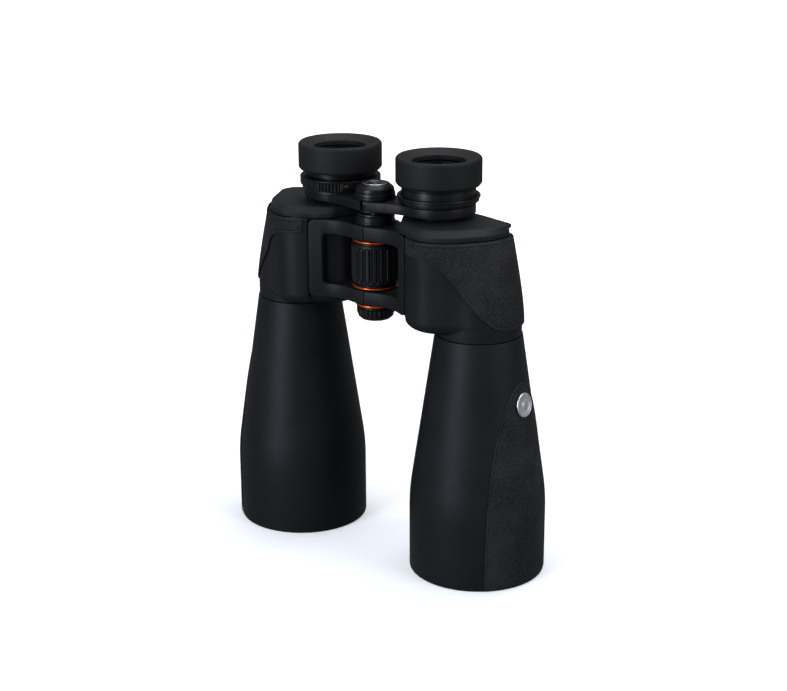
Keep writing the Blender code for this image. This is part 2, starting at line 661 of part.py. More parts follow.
def tube_profile(neck_bottom):
    """Eyepiece tube: eyecup spigot, neck, barrel in the arm's ring, and the sleeve in the cover."""
    spigot = [(20.4, 249.0), (20.4, 238.2), (NECK_R, 238.2), (NECK_R, neck_bottom)]
    outer = [(TUBE_R, neck_bottom), (TUBE_R, 221.0), (SLEEVE_R, 221.0), (SLEEVE_R, 203.0)]
    bore = [(12.6, 203.0), (12.6, 222.0), (15.0, 234.0), (15.0, 249.0)]
    return spigot + outer + bore


def diopter_profile():
    """Diopter ring: a wider band above, and below it the part that sits down in the arm's relief."""
    low, high = DIOPTER_Z
    return [(FLANGE_R - 0.5, high), (FLANGE_R, high - 0.5), (FLANGE_R, 229.8), (23.9, 229.0),
            (23.9, low + 0.4), (23.5, low), (TUBE_R + GAP, low), (TUBE_R + GAP, high)]


def make_eyepiece(prefix, side):
    centre = (side * EYEPIECE[0], EYEPIECE[1])
    neck_bottom = ARM_Z[1] + GAP if side > 0.0 else DIOPTER_Z[1] + 1.3
    tube = turned(tube_profile(neck_bottom), centre, RING_STEPS)
    field = lens(centre, 12.6 - GAP, (204.0, 206.5), (1.5, 2.0), SMALL_STEPS)
    eye = lens(centre, 15.0 - GAP, (240.0, 243.0), (1.5, 2.4), SMALL_STEPS)
    return [finish(tube, prefix + "_eyepiece_tube", GLOSS_BLACK),
            finish(field, prefix + "_field_lens", LENS_GLASS),
            finish(eye, prefix + "_eye_lens", LENS_GLASS)]


def make_eyecup(prefix, side):
    centre = (side * EYEPIECE[0], EYEPIECE[1])
    low, high = EYECUP_Z
    cup = [(24.8, high), (25.7, high - 0.5), (EYECUP_R, high - 1.4), (EYECUP_R, low + 1.6),
           (25.0, low), (22.9, low), (22.9, 249.6), (16.3, 249.6), (16.3, 252.3), (17.2, 252.9),
           (23.0, high - 0.4), (23.9, high)]
    glide = ring_profile(20.4 + GAP, 22.9 - GAP, low + 0.4, 249.0)
    return (finish(turned(cup, centre, BARREL_STEPS), prefix + "_eyecup", ARMOUR),
            finish(turned(glide, centre, RING_STEPS), prefix + "_eyecup_glide_ring", BLACK_METAL))


def make_badge():
    """Plain round badge near the top of the right barrel's grip panel, square to the cone."""
    half = 0.4
    tilt = math.atan(CONE_SLOPE)
    disc = turned([(0.0, half), (BADGE_R - 0.5, half), (BADGE_R, 0.0), (BADGE_R, -half), (0.0, -half)],
                  (0.0, 0.0), SMALL_STEPS, closed=False)
    reach = OBJECTIVE[0] + barrel_radius(BADGE_Z) + PANEL_SKIN + 2.0 * GAP + half + 0.1
    place = Matrix.Translation((reach * MM, OBJECTIVE[1] * MM, BADGE_Z * MM))
    disc.matrix_world = place @ Matrix.Rotation(math.radians(90.0) - tilt, 4, "Y")
    return finish(disc, "right_badge", SILVER)


# ---------------------------------------------------------------- assembly

def build():
    hinge = joint_empty("interpupillary_hinge_axis", (0.0, HINGE_Y, 0.0))
    wheel = joint_empty("focus_wheel_axis", (0.0, HINGE_Y, 0.0))
    bridge = joint_empty("bridge_slide_axis", (0.0, HINGE_Y, 0.0))
    tripod = joint_empty("tripod_cap_axis", (0.0, HINGE_Y, 0.0))

    make_hinge_core()
    carry(wheel, *make_focus_wheel())
    carry(tripod, *make_tripod_cap())
    carry(bridge, *make_bridge())

    for prefix, side in SIDES.items():
        pieces = make_barrel_group(prefix, side) + make_housing_group(prefix, side)
        pieces.append(finish(make_bracket(side), prefix + "_hinge_bracket", ARMOUR, smooth=False))
        eyepiece = make_eyepiece(prefix, side)
        arm = finish(make_arm(side), prefix + "_eyepiece_arm", GLOSS_BLACK, smooth=False)
        axis = joint_empty(prefix + "_eyepiece_axis", (side * EYEPIECE[0], EYEPIECE[1], 0.0))
        cup, glide = make_eyecup(prefix, side)
        carry(axis, *eyepiece, cup, glide)
        if side > 0.0:
            flange = turned(ring_profile(NECK_R + GAP, FLANGE_R, *FLANGE_Z, 0.7),
                            (EYEPIECE[0], EYEPIECE[1]), RING_STEPS)
            carry(axis, arm, finish(flange, "right_eyepiece_flange", GLOSS_BLACK))
            carry(hinge, *pieces, make_badge(), axis)
        else:
            ring = turned(diopter_profile(), (side * EYEPIECE[0], EYEPIECE[1]), RING_STEPS)
            carry(axis, finish(ring, "left_diopter_ring", GLOSS_BLACK))
            carry(bridge, arm, axis)


build()
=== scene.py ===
"""Finished surfaces of a pair of Porro-prism astronomy binoculars, built round their fixed frame."""
import json
import math

import bmesh
import bpy
import numpy
from mathutils import Matrix, Vector, geometry


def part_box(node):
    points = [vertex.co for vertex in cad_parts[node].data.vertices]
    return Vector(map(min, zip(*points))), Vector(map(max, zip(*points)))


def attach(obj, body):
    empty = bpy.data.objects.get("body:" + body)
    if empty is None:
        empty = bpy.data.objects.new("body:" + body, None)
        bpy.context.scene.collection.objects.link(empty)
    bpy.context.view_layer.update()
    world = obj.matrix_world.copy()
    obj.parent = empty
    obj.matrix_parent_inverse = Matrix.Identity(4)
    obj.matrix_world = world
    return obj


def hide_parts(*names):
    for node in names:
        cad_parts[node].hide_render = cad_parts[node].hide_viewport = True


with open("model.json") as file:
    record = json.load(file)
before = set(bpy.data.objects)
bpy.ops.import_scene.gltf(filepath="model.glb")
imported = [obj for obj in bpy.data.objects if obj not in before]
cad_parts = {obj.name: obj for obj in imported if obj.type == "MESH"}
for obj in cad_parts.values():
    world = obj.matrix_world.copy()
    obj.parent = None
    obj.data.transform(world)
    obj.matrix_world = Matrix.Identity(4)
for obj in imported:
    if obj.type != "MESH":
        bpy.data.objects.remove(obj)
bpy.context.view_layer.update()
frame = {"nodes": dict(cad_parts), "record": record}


# ---------------------------------------------------------------- objective barrels
# Each barrel is a cast tube under a moulded skin of satin black rubber. It is straight at the front,
# eases into a long cone, and screws into the neck of its prism housing. Baffle steps line the front.

MM = 0.001
SIDES = {"left": -1.0, "right": 1.0}
BODY_OF = {node: body for body, nodes in frame["record"]["behaviour"]["bodies"].items() for node in nodes}


class Wire:
    """One output in a material's node tree. Arithmetic on it adds Math nodes."""

    def __init__(self, tree, socket=None):
        self.tree = tree
        self.socket = socket

    def node(self, kind, settings=None, inputs=None, output=0):
        """Any node, by its type: its settings first, then values or wires for its sockets."""
        made = self.tree.nodes.new(kind)
        for name, value in (settings or {}).items():
            setattr(made, name, value)
        for name, value in (inputs or {}).items():
            if isinstance(value, Wire):
                self.tree.links.new(value.socket, made.inputs[name])
            else:
                made.inputs[name].default_value = value
        return Wire(self.tree, made.outputs[output])

    def math(self, operation, first, second=0.0):
        return self.node("ShaderNodeMath", {"operation": operation}, {0: first, 1: second})

    def __add__(self, other):
        return self.math("ADD", self, other)

    __radd__ = __add__

    def __sub__(self, other):
        return self.math("SUBTRACT", self, other)

    def __rsub__(self, other):
        return self.math("SUBTRACT", other, self)

    def __mul__(self, other):
        return self.math("MULTIPLY", self, other)

    __rmul__ = __mul__

    def sine(self):
        return self.math("SINE", self)

    def smooth_step(self, start, end):
        """0 below start, 1 above end, and smooth between them."""
        return self.node("ShaderNodeMapRange", {"interpolation_type": "SMOOTHSTEP"},
                         {"Value": self, "From Min": start, "From Max": end})

    def mix(self, first, second):
        """One colour where this is 0 and the other where it is 1."""
        return self.node("ShaderNodeMix", {"data_type": "RGBA"}, {0: self, 6: first, 7: second}, 2)

    def noise(self, scale, detail=2.0):
        return self.node("ShaderNodeTexNoise", {}, {"Vector": self, "Scale": scale, "Detail": detail}, "Fac")

    def bump(self, depth, strength=1.0):
        """Surface normal of a relief of this height, its depth in metres."""
        return self.node("ShaderNodeBump", {}, {"Height": self, "Distance": depth, "Strength": strength},
                         "Normal")


def new_material(name):
    """A material, and a wire that carries places on the piece in metres."""
    material = bpy.data.materials.new(name)
    material.use_nodes = True
    return material, Wire(material.node_tree).node("ShaderNodeTexCoord", output="Object")


def dress(material, inputs):
    """Set a material's own shader, from values or wires."""
    shader = material.node_tree.nodes["Principled BSDF"]
    for name, value in inputs.items():
        if isinstance(value, Wire):
            material.node_tree.links.new(value.socket, shader.inputs[name])
        else:
            shader.inputs[name].default_value = value
    return material


def satin_rubber(name, dark, light, roughness=0.42):
    """Smooth moulded rubber: cloudy near-black, a fine matt texture, edges a little lighter, partly as wear
    and partly as a painted highlight.
    """
    material, place = new_material(name)
    cloud = place.noise(38.0, 3.0)
    smudge = place.noise(210.0, 4.0)
    grain = place.noise(3200.0, 2.0)
    # Convex edges are mixed lighter: part edge wear, part painted edge highlight.
    rubbed = place.node("ShaderNodeNewGeometry", output="Pointiness").smooth_step(0.53, 0.64)
    colour = cloud.smooth_step(0.3, 0.7).mix((*dark, 1.0), (*light, 1.0))
    worn = tuple(1.9 * channel for channel in light)
    return dress(material, {
        "Base Color": (rubbed * 0.5).mix(colour, (*worn, 1.0)),
        "Roughness": roughness + 0.10 * smudge + 0.05 * grain,
        "Specular IOR Level": 0.22,
        "Normal": (grain + 0.4 * smudge).bump(0.00003, 0.5)})


def measure(node):
    """Axis in plan, outer radius and heights of an upright round node of the frame, in mm."""
    low, high = (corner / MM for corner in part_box(node))
    return (low.x + high.x) / 2.0, (low.y + high.y) / 2.0, (high.x - low.x) / 2.0, low.z, high.z


def make_piece(name, points, faces, material):
    """A mesh object from points in mm, with coinciding points joined and its faces turned outwards."""
    mesh = bpy.data.meshes.new(name)
    mesh.from_pydata((numpy.asarray(points, float) * MM).tolist(), [], faces)
    tidy = bmesh.new()
    tidy.from_mesh(mesh)
    bmesh.ops.remove_doubles(tidy, verts=tidy.verts, dist=0.0000005)
    bmesh.ops.recalc_face_normals(tidy, faces=tidy.faces)
    tidy.to_mesh(mesh)
    tidy.free()
    mesh.shade_smooth()
    mesh.set_sharp_from_angle(angle=math.radians(38.0))
    mesh.materials.append(material)
    piece = bpy.data.objects.new(name, mesh)
    bpy.context.scene.collection.objects.link(piece)
    return piece


def surface(name, rings, material, closed=True):
    """Skin through rings of points, each ring joined to the next and, if closed, the last to the first."""
    rings = numpy.asarray(rings, float)
    rows, width = rings.shape[:2]
    row = numpy.arange(rows if closed else rows - 1)[:, None]
    column = numpy.arange(width)[None, :]
    after = (row + 1) % rows
    beside = (column + 1) % width
    corners = [row * width + column, row * width + beside, after * width + beside, after * width + column]
    faces = numpy.stack(corners, axis=-1).reshape(-1, 4)
    return make_piece(name, rings.reshape(-1, 3), faces.tolist(), material)


def eased(corners, steps=4):
    """Outline whose corners are rounded where a third number gives the radius."""
    points = []
    for index, corner in enumerate(corners):
        here = Vector(corner[:2])
        if len(corner) < 3:
            points.append(tuple(here))
            continue
        before = Vector(corners[index - 1][:2]) - here
        after = Vector(corners[(index + 1) % len(corners)][:2]) - here
        reach = corner[2] / math.tan(before.angle(after) / 2.0)
        start = here + before.normalized() * reach
        end = here + after.normalized() * reach
        for step in range(steps + 1):
            share = step / steps
            point = start * (1.0 - share) ** 2 + here * 2.0 * share * (1.0 - share) + end * share ** 2
            points.append(tuple(point))
    return points


def turned(name, profile, centre, material, segments=160, relief=None):
    """A piece turned round an upright axis. A profile that starts on the axis also ends there."""
    angles = numpy.linspace(0.0, 2.0 * math.pi, segments, endpoint=False)
    rings = []
    for radius, height in profile:
        reach = numpy.full(segments, radius)
        if relief:
            reach = reach + relief(angles, radius, height)
        rings.append(numpy.stack([centre[0] + reach * numpy.cos(angles),
                                  centre[1] + reach * numpy.sin(angles),
                                  numpy.full(segments, height)], axis=1))
    return surface(name, rings, material, closed=profile[0][0] > 0.0)


def stand_for(piece, node):
    """The piece takes the place of a node of the frame, on the same body."""
    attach(piece, BODY_OF[node])
    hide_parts(node)
    return piece


ARMOUR = satin_rubber("satin_armour", (0.0074, 0.0082, 0.0102), (0.0100, 0.0110, 0.0134))

CONE_START = 40.0                        # height where the straight front of a barrel ends
CONE_EASE = 20.0                         # height over which it turns into the cone
CONE_SLOPE = 0.1486
RIM_WALL = 3.2
BAFFLES = 8                              # rings in the front of the bore that stop stray light
BAFFLE_START = 1.8
BAFFLE_STEP = 1.25
BAFFLE_DEPTH = 0.35
CELL_FRONT = 14.7                        # the lens cell behind the baffles
CELL_BACK = 27.0
CELL_LIP = 2.6
BORE_LIP = 4.8
BORE_STRAIGHT = 55.0                     # height where the bore starts to narrow with the cone
BARREL_TOP_WALL = 3.98

_, _, BARREL_R, _, BARREL_TOP = measure("right_barrel")


def barrel_radius(height):
    """Outer radius of a barrel at heights in mm."""
    above = numpy.maximum(0.0, numpy.asarray(height, float) - CONE_START)
    easing = CONE_SLOPE * above ** 2 / (2.0 * CONE_EASE)
    return BARREL_R - numpy.where(above < CONE_EASE, easing, CONE_SLOPE * (above - CONE_EASE / 2.0))


def barrel_profile():
    """Down the outside from the top, round the front rim, past the baffles and up the bore."""
    outer = [(float(barrel_radius(z)), z)
             for z in numpy.linspace(BARREL_TOP - 1.2, CONE_START, 60)]
    corners = [(float(barrel_radius(BARREL_TOP)), BARREL_TOP, 0.5)] + outer
    inner_r = BARREL_R - RIM_WALL
    corners += [(BARREL_R, 0.0, 1.1), (inner_r, 0.0, 0.5)]
    for step in range(BAFFLES):
        height = BAFFLE_START + step * BAFFLE_STEP
        corners += [(inner_r, height), (inner_r - BAFFLE_DEPTH, height + 0.25),
                    (inner_r - BAFFLE_DEPTH, height + 0.55), (inner_r, height + 0.95)]
    cell_r = inner_r - CELL_LIP
    bore_r = inner_r - BORE_LIP
    corners += [(inner_r, CELL_FRONT), (cell_r, CELL_FRONT), (cell_r, CELL_BACK), (bore_r, CELL_BACK, 0.3),
                (bore_r, BORE_STRAIGHT), (float(barrel_radius(BARREL_TOP)) - BARREL_TOP_WALL, BARREL_TOP)]
    return eased(corners)


for prefix, side in SIDES.items():
    x, y, *_ = measure(prefix + "_barrel")
    shell = turned(prefix + "_barrel_shell", barrel_profile(), (x, y), ARMOUR, 224)
    stand_for(shell, prefix + "_barrel")


# ---------------------------------------------------------------- barrel grip panels
# A thin arched skin of grained rubber is bonded to the outer side of each barrel, from the front rim up
# to a rounded point. A smooth raised border frames its leather-like grain.

def grained_rubber(name, hollow, crown, cell=1150.0):
    """Rubber with a fine leather grain: pebbled cells, their hollows darker than their worn crowns."""
    material, place = new_material(name)
    wander = place.noise(900.0, 2.0)
    cells = place.node("ShaderNodeTexVoronoi", {"feature": "SMOOTH_F1"},
                       {"Vector": place, "Scale": cell, "Smoothness": 0.6}, "Distance")
    fine = place.noise(2600.0, 3.0)
    cloud = place.noise(45.0, 3.0)
    relief = 1.0 - cells + 0.7 * wander + 0.35 * fine
    crowns = relief.smooth_step(0.95, 1.55)
    colour = crowns.mix((*hollow, 1.0), (*crown, 1.0))
    faded = (cloud.smooth_step(0.35, 0.75) * 0.35).mix(colour, (*(1.5 * c for c in crown), 1.0))
    return dress(material, {
        "Base Color": faded,
        "Roughness": 0.74 - 0.16 * crowns + 0.08 * fine,
        "Specular IOR Level": 0.28,
        "Normal": relief.bump(0.00022, 0.85)})


PANEL_LIFT = 0.30                        # clearance under a grip panel
PANEL_HEIGHT = 0.40
PANEL_EDGE = 0.40                        # radius of its outer edge
BORDER_WIDTH = 1.5
BORDER_CROWN = 0.10
GROOVE_DEPTH = 0.34
GROOVE_WIDTH = 0.24
PANEL_HALF_ANGLE = 48.3
PANEL_POINT = 1.0                        # height that a barrel panel's rounded point loses to its edge
GRAIN = grained_rubber("leather_grain_rubber", (0.0070, 0.0072, 0.0082), (0.0300, 0.0305, 0.0350))


def panel_height(border, field_edge):
    """Height of a grip panel: rounded edge, smooth border, a fine groove inside it, then the field."""
    edge = numpy.clip(numpy.minimum(border, field_edge) / PANEL_EDGE, 0.0, 1.0)
    groove = numpy.exp(-((border - BORDER_WIDTH) / GROOVE_WIDTH) ** 2)
    across = (border - 0.5 * BORDER_WIDTH) / (0.5 * BORDER_WIDTH)
    crown = BORDER_CROWN * numpy.clip(1.0 - across ** 2, 0.0, 1.0)
    return numpy.sqrt(1.0 - (1.0 - edge) ** 2) * (PANEL_HEIGHT + crown - GROOVE_DEPTH * groove)


def distance_to_line(points, line):
    """Shortest distance from each flat point to a line through points."""
    nearest = numpy.full(points.shape[:-1], 1.0e9)
    for start, end in zip(line[:-1], line[1:]):
        along = end - start
        share = numpy.clip(((points - start) @ along) / max(1.0e-12, along @ along), 0.0, 1.0)
        gap = numpy.linalg.norm(points - start - share[..., None] * along, axis=-1)
        nearest = numpy.minimum(nearest, gap)
    return nearest


def panel_shell(name, base, normals, height, material):
    """Thin closed skin over a grid of points: its top and its underside meet along the border."""
    outer = base + normals * (PANEL_LIFT + height)[..., None]
    inner = base + normals * PANEL_LIFT
    rings = numpy.concatenate([outer, inner[:, ::-1]], axis=1)
    return surface(name, rings, material, closed=False)


def barrel_panel_reach(height):
    """Half the width of a barrel's panel along the surface, mm."""
    top = measure("right_barrel_grip_panel")[4] + PANEL_POINT
    share = numpy.clip(1.0 - (numpy.asarray(height, float) / top) ** 3, 0.0, 1.0)
    return math.radians(PANEL_HALF_ANGLE) * numpy.sqrt(share) * barrel_radius(height)


def barrel_panel(name, centre, side, material):
    """The arched panel: rows close up towards its point and columns towards its borders."""
    low, high = measure("right_barrel_grip_panel")[3:]
    top = high + PANEL_POINT
    rows = top - (top - low) * numpy.linspace(1.0, 0.0, 150) ** 2
    columns = numpy.cos(numpy.linspace(math.pi, 0.0, 90))
    reach = barrel_panel_reach(rows)
    along = reach[:, None] * columns[None, :]
    heights = numpy.repeat(rows[:, None], len(columns), axis=1)
    flat = numpy.stack([along, heights], axis=-1)
    line_z = top - (top - low + 6.0) * numpy.linspace(1.0, 0.0, 130) ** 2
    line_x = barrel_panel_reach(numpy.maximum(line_z, 0.0))
    right = distance_to_line(flat, numpy.stack([line_x, line_z], axis=1))
    left = distance_to_line(flat, numpy.stack([-line_x, line_z], axis=1))
    border = numpy.minimum(left, right)
    border[:, [0, -1]] = 0.0
    border[-1] = 0.0
    radius = barrel_radius(heights)
    angle = along / radius
    outward = numpy.stack([side * numpy.cos(angle), numpy.sin(angle)], axis=-1)
    plan = numpy.array(centre) + outward * radius[..., None]
    base = numpy.concatenate([plan, heights[..., None]], axis=-1)
    normals = numpy.concatenate([outward, numpy.full(heights.shape, CONE_SLOPE * 0.5)[..., None]], axis=-1)
    normals /= numpy.linalg.norm(normals, axis=-1, keepdims=True)
    return panel_shell(name, base, normals, panel_height(border, heights - low), material)


for prefix, side in SIDES.items():
    x, y, *_ = measure(prefix + "_barrel")
    skin = barrel_panel(prefix + "_barrel_grip_skin", (x, y), side, GRAIN)
    stand_for(skin, prefix + "_barrel_grip_panel")


# ---------------------------------------------------------------- objective lenses
# A cemented front doublet and a rear element sit in each barrel's cell behind a notched black retaining
# ring. Both are polished glass with a green anti-reflection coating.

def coated_glass(name, tint, roughness=0.02):
    """Polished glass with a coloured coating and a trace of dust."""
    material, place = new_material(name)
    dust = place.noise(420.0, 5.0).smooth_step(0.55, 0.80)
    return dress(material, {
        "Base Color": (dust * 0.3).mix((*tint, 1.0), (0.80, 0.84, 0.82, 1.0)),
        "Roughness": roughness + 0.05 * dust,
        "Transmission Weight": 1.0,
        "IOR": 1.52,
        "Specular Tint": (0.35, 1.0, 0.62, 1.0),
        "Thin Film Thickness": 330.0,
        "Thin Film IOR": 1.38})


def distance_from_axis(place, axis):
    """Distance of a place from an upright axis, as a wire."""
    centre = (axis[0] * MM, axis[1] * MM, 0.0)
    away = place.node("ShaderNodeVectorMath", {"operation": "SUBTRACT"}, {0: place, 1: centre})
    flat = place.node("ShaderNodeVectorMath", {"operation": "MULTIPLY"}, {0: away, 1: (1.0, 1.0, 0.0)})
    return place.node("ShaderNodeVectorMath", {"operation": "LENGTH"}, {0: flat}, "Value")


def turned_metal(name, colour, metallic, roughness, axis, pitch=0.00022):
    """Metal with the fine concentric marks of a lathe round an upright axis."""
    material, place = new_material(name)
    height = place.node("ShaderNodeSeparateXYZ", {}, {0: place}, "Z")
    marks = ((distance_from_axis(place, axis) + height) * (2.0 * math.pi / pitch)).sine()
    smudge = place.noise(300.0, 3.0)
    dull = tuple(0.8 * channel for channel in colour)
    return dress(material, {
        "Base Color": smudge.smooth_step(0.35, 0.7).mix((*dull, 1.0), (*colour, 1.0)),
        "Metallic": metallic,
        "Roughness": roughness + 0.08 * smudge,
        "Normal": (marks + 0.6 * smudge).bump(0.000006, 0.6)})


def lens(name, centre, radius, rim, bulge, material):
    """A lens between two rim heights, domed by its bulge below and above."""
    shares = numpy.linspace(0.0, 1.0, 20)
    upper = [(radius * t, rim[1] + bulge[1] * (1.0 - t * t)) for t in shares]
    lower = [(radius * t, rim[0] - bulge[0] * (1.0 - t * t)) for t in shares[::-1]]
    return turned(name, upper + lower, centre, material, 128)


LENS_GLASS = coated_glass("coated_lens_glass", (0.72, 0.92, 0.84))
NOTCHES = 2
NOTCH_DEPTH = 1.6
NOTCH_HALF_WIDTH = 0.05                  # sine of half the angle that a notch takes up
RETAINER_WALL = 4.7
FRONT_LENS_RIM = (15.0, 19.6)
FRONT_LENS_BULGE = (3.4, 3.0)


def refinish(node, material):
    """Give a node of the frame that stays in view its real finish."""
    mesh = frame["nodes"][node].data
    mesh.materials.clear()
    mesh.materials.append(material)


def notches(bore):
    """Spanner notches across the bore of a ring."""
    def relief(angles, radius, height):
        if radius > bore + 0.9:
            return numpy.zeros_like(angles)
        across = numpy.abs(numpy.sin(angles * NOTCHES / 2.0))
        return numpy.where(across < NOTCH_HALF_WIDTH, NOTCH_DEPTH, 0.0)
    return relief


for prefix in SIDES:
    x, y, radius, *_ = measure(prefix + "_objective_front_element")
    front = lens(prefix + "_objective_front_glass", (x, y), radius, FRONT_LENS_RIM, FRONT_LENS_BULGE,
                 LENS_GLASS)
    stand_for(front, prefix + "_objective_front_element")
    refinish(prefix + "_objective_rear_element", LENS_GLASS)

    x, y, radius, low, high = measure(prefix + "_objective_retainer")
    inner = radius - RETAINER_WALL
    black = turned_metal(prefix + "_retainer_black", (0.030, 0.031, 0.034), 0.6, 0.38, (x, y))
    ring = turned(prefix + "_objective_retaining_ring",
                  eased([(radius, high, 0.2), (radius, low, 0.2), (inner + 2.2, low, 0.2),
                         (inner + 1.6, low + 0.5), (inner, low + 0.5, 0.15), (inner, high, 0.2)]),
                  (x, y), black, 240, notches(inner))
    stand_for(ring, prefix + "_objective_retainer")


# ---------------------------------------------------------------- prism housings
# Each housing is a die-cast box under satin rubber. Its wall flares from the rim down to a rounded
# shoulder, and under that a round neck takes the barrel. Two upright hollows stiffen its inner wall.

OUTLINE_SAMPLES = 12                     # samples to each stretch between outline points
RING_R = 26.0
HOUSING_WALL = 2.0
HOUSING_FLOOR_Z = 159.4
BORE_WALL = 4.0
RIM_EASE = 0.9                           # radius of the rim's inner edge
SHOULDER_Z = 163.0
SHOULDER_DROP = 6.8
SHOULDER_INSET = 7.5
HOLLOWS = (20.35, 21.05)                 # middle of each hollow, counted in outline points
HOLLOW_HALF_WIDTH = 0.24                 # counted in the same way
HOLLOW_MIDDLE = 187.5
HOLLOW_HALF_LENGTH = 10.0

# Outline of the right housing from above, mm. Its front and its inner side are upright, and the rest
# leans out from the rim to the shoulder, where the housing is widest.
INNER_FRONT = [(22.4, -13.0), (26.0, -17.0), (30.0, -21.2), (37.2, -27.2), (38.4, -30.6)]
INNER_BACK = [(38.0, 24.8), (26.5, 20.5), (19.0, 12.0), (17.6, 2.0), (20.4, -7.0)]
RIM_OUTLINE = INNER_FRONT + [
    (46.0, -34.9), (54.0, -36.0), (63.0, -33.2), (71.5, -27.2), (78.3, -19.0), (84.8, -9.3),
    (87.5, 0.5), (86.8, 9.0), (82.0, 15.2), (73.0, 19.3), (61.0, 22.8), (49.0, 24.8)] + INNER_BACK
LOW_OUTLINE = INNER_FRONT + [
    (46.0, -34.8), (55.0, -35.3), (65.0, -31.0), (74.0, -26.6), (84.5, -22.2), (93.2, -13.0),
    (96.9, 0.5), (93.5, 13.0), (84.5, 22.3), (73.0, 26.2), (61.0, 26.6), (49.0, 25.6)] + INNER_BACK


def spline(before, here, after, last, samples):
    """Smooth stretches from each point here to the one after it, bent by the points on both sides."""
    share = numpy.linspace(0.0, 1.0, samples, endpoint=False)[None, :, None]
    terms = [2.0 * here, after - before, 2.0 * before - 5.0 * here + 4.0 * after - last,
             3.0 * here - before - 3.0 * after + last]
    curve = sum(term[:, None] * share ** power for power, term in enumerate(terms)) / 2.0
    return curve.reshape(-1, 2)


def smooth_closed(points):
    """Closed smooth curve through points."""
    here = numpy.asarray(points, float)
    before, after, last = (numpy.roll(here, shift, axis=0) for shift in (1, -1, -2))
    return spline(before, here, after, last, OUTLINE_SAMPLES)


def offset(outline, distance):
    """Move a counter-clockwise outline outwards."""
    along = numpy.roll(outline, -1, axis=0) - numpy.roll(outline, 1, axis=0)
    normal = numpy.stack([along[:, 1], -along[:, 0]], axis=1)
    return outline + normal / numpy.linalg.norm(normal, axis=1, keepdims=True) * distance


def spread_round(outline, centre, radius):
    """The points of a circle that lie in line with an outline's own points."""
    away = outline - numpy.array(centre)
    return numpy.array(centre) + away / numpy.linalg.norm(away, axis=1, keepdims=True) * radius


def raised(outline, side, height):
    """An outline of the right half as a ring in space, on either side."""
    return numpy.column_stack([side * outline[:, 0], outline[:, 1], numpy.full(len(outline), height)])


HOUSING_TOP = measure("right_prism_housing")[4]
HOUSING_BASE = measure("right_prism_housing")[3]
OBJECTIVE_AXIS = (abs(measure("right_barrel")[0]), measure("right_barrel")[1])
RIM_CURVE = smooth_closed(RIM_OUTLINE)
LOW_CURVE = smooth_closed(LOW_OUTLINE)


def housing_outline(height):
    """Outline of the right housing's wall at a height between its shoulder and its rim."""
    rise = min(1.0, max(0.0, (height - SHOULDER_Z) / (HOUSING_TOP - SHOULDER_Z))) ** 1.3
    return LOW_CURVE + (RIM_CURVE - LOW_CURVE) * rise


def inner_wall_hollows(height):
    """Depth of the upright hollows in the inner wall, for each point of the outline."""
    position = numpy.arange(len(LOW_CURVE)) / OUTLINE_SAMPLES
    depth = numpy.zeros(len(position))
    for middle in HOLLOWS:
        across = numpy.abs(position - middle) / HOLLOW_HALF_WIDTH
        length = max(0.0, abs(height - HOLLOW_MIDDLE) - HOLLOW_HALF_LENGTH) / 3.5
        reach = numpy.sqrt(across ** 2 + length ** 2)
        depth += 1.0 * (1.0 - numpy.clip((reach - 0.7) / 0.35, 0.0, 1.0))
    return depth


def housing_rings(side):
    """Rings in one loop: up the inside, over the rim, down the wall, under it, and up the light bore."""
    bore = spread_round(LOW_CURVE, OBJECTIVE_AXIS, RING_R - BORE_WALL)
    rings = [raised(bore, side, HOUSING_BASE), raised(bore, side, HOUSING_FLOOR_Z)]
    for height in (HOUSING_FLOOR_Z, 170.0, 180.0, 190.0, 200.0, HOUSING_TOP - 0.5):
        rings.append(raised(offset(housing_outline(height), -HOUSING_WALL), side, height))
    for turn in numpy.linspace(0.0, math.pi / 2.0, 5):
        inset = RIM_EASE * (1.0 - math.sin(turn))
        rings.append(raised(offset(housing_outline(HOUSING_TOP), -inset), side,
                            HOUSING_TOP - RIM_EASE * (1.0 - math.cos(turn))))
    for height in numpy.linspace(HOUSING_TOP - 1.2, SHOULDER_Z, 62):
        outline = housing_outline(height)
        rings.append(raised(offset(outline, -inner_wall_hollows(height)[:, None]), side, height))
    ring = spread_round(LOW_CURVE, OBJECTIVE_AXIS, RING_R)
    room = numpy.linalg.norm(LOW_CURVE - ring, axis=1, keepdims=True)
    for turn in numpy.linspace(0.0, math.pi / 2.0, 14)[1:]:
        share = numpy.minimum(1.0, SHOULDER_INSET * (1.0 - math.cos(turn)) / numpy.maximum(room, 0.01))
        rings.append(raised(LOW_CURVE + (ring - LOW_CURVE) * share, side,
                            SHOULDER_Z - SHOULDER_DROP * math.sin(turn)))
    under = SHOULDER_Z - SHOULDER_DROP
    rings += [raised(ring, side, under), raised(ring, side, under - 0.6),
              raised(ring, side, HOUSING_BASE + 0.4),
              raised(spread_round(LOW_CURVE, OBJECTIVE_AXIS, RING_R - 0.4), side, HOUSING_BASE)]
    return rings


for prefix, side in SIDES.items():
    shell = surface(prefix + "_prism_housing_shell", housing_rings(side), ARMOUR)
    stand_for(shell, prefix + "_prism_housing")


# ---------------------------------------------------------------- prisms and shelves
# Two right-angle prisms of clear optical glass fold the light in each housing. They are clipped to the
# two faces of a matt black shelf plate that is screwed across the housing.

def black_paint(name):
    """Sprayed matt black, a little uneven."""
    material, place = new_material(name)
    spray = place.noise(1500.0, 3.0)
    cloud = place.noise(60.0, 2.0)
    return dress(material, {
        "Base Color": cloud.mix((0.018, 0.018, 0.019, 1.0), (0.030, 0.030, 0.032, 1.0)),
        "Roughness": 0.62 + 0.2 * spray,
        "Metallic": 0.2,
        "Normal": spray.bump(0.00004, 0.6)})


SHELF_PAINT = black_paint("matt_black_paint")
PRISM_GLASS = coated_glass("clear_prism_glass", (0.93, 0.97, 0.98), 0.03)


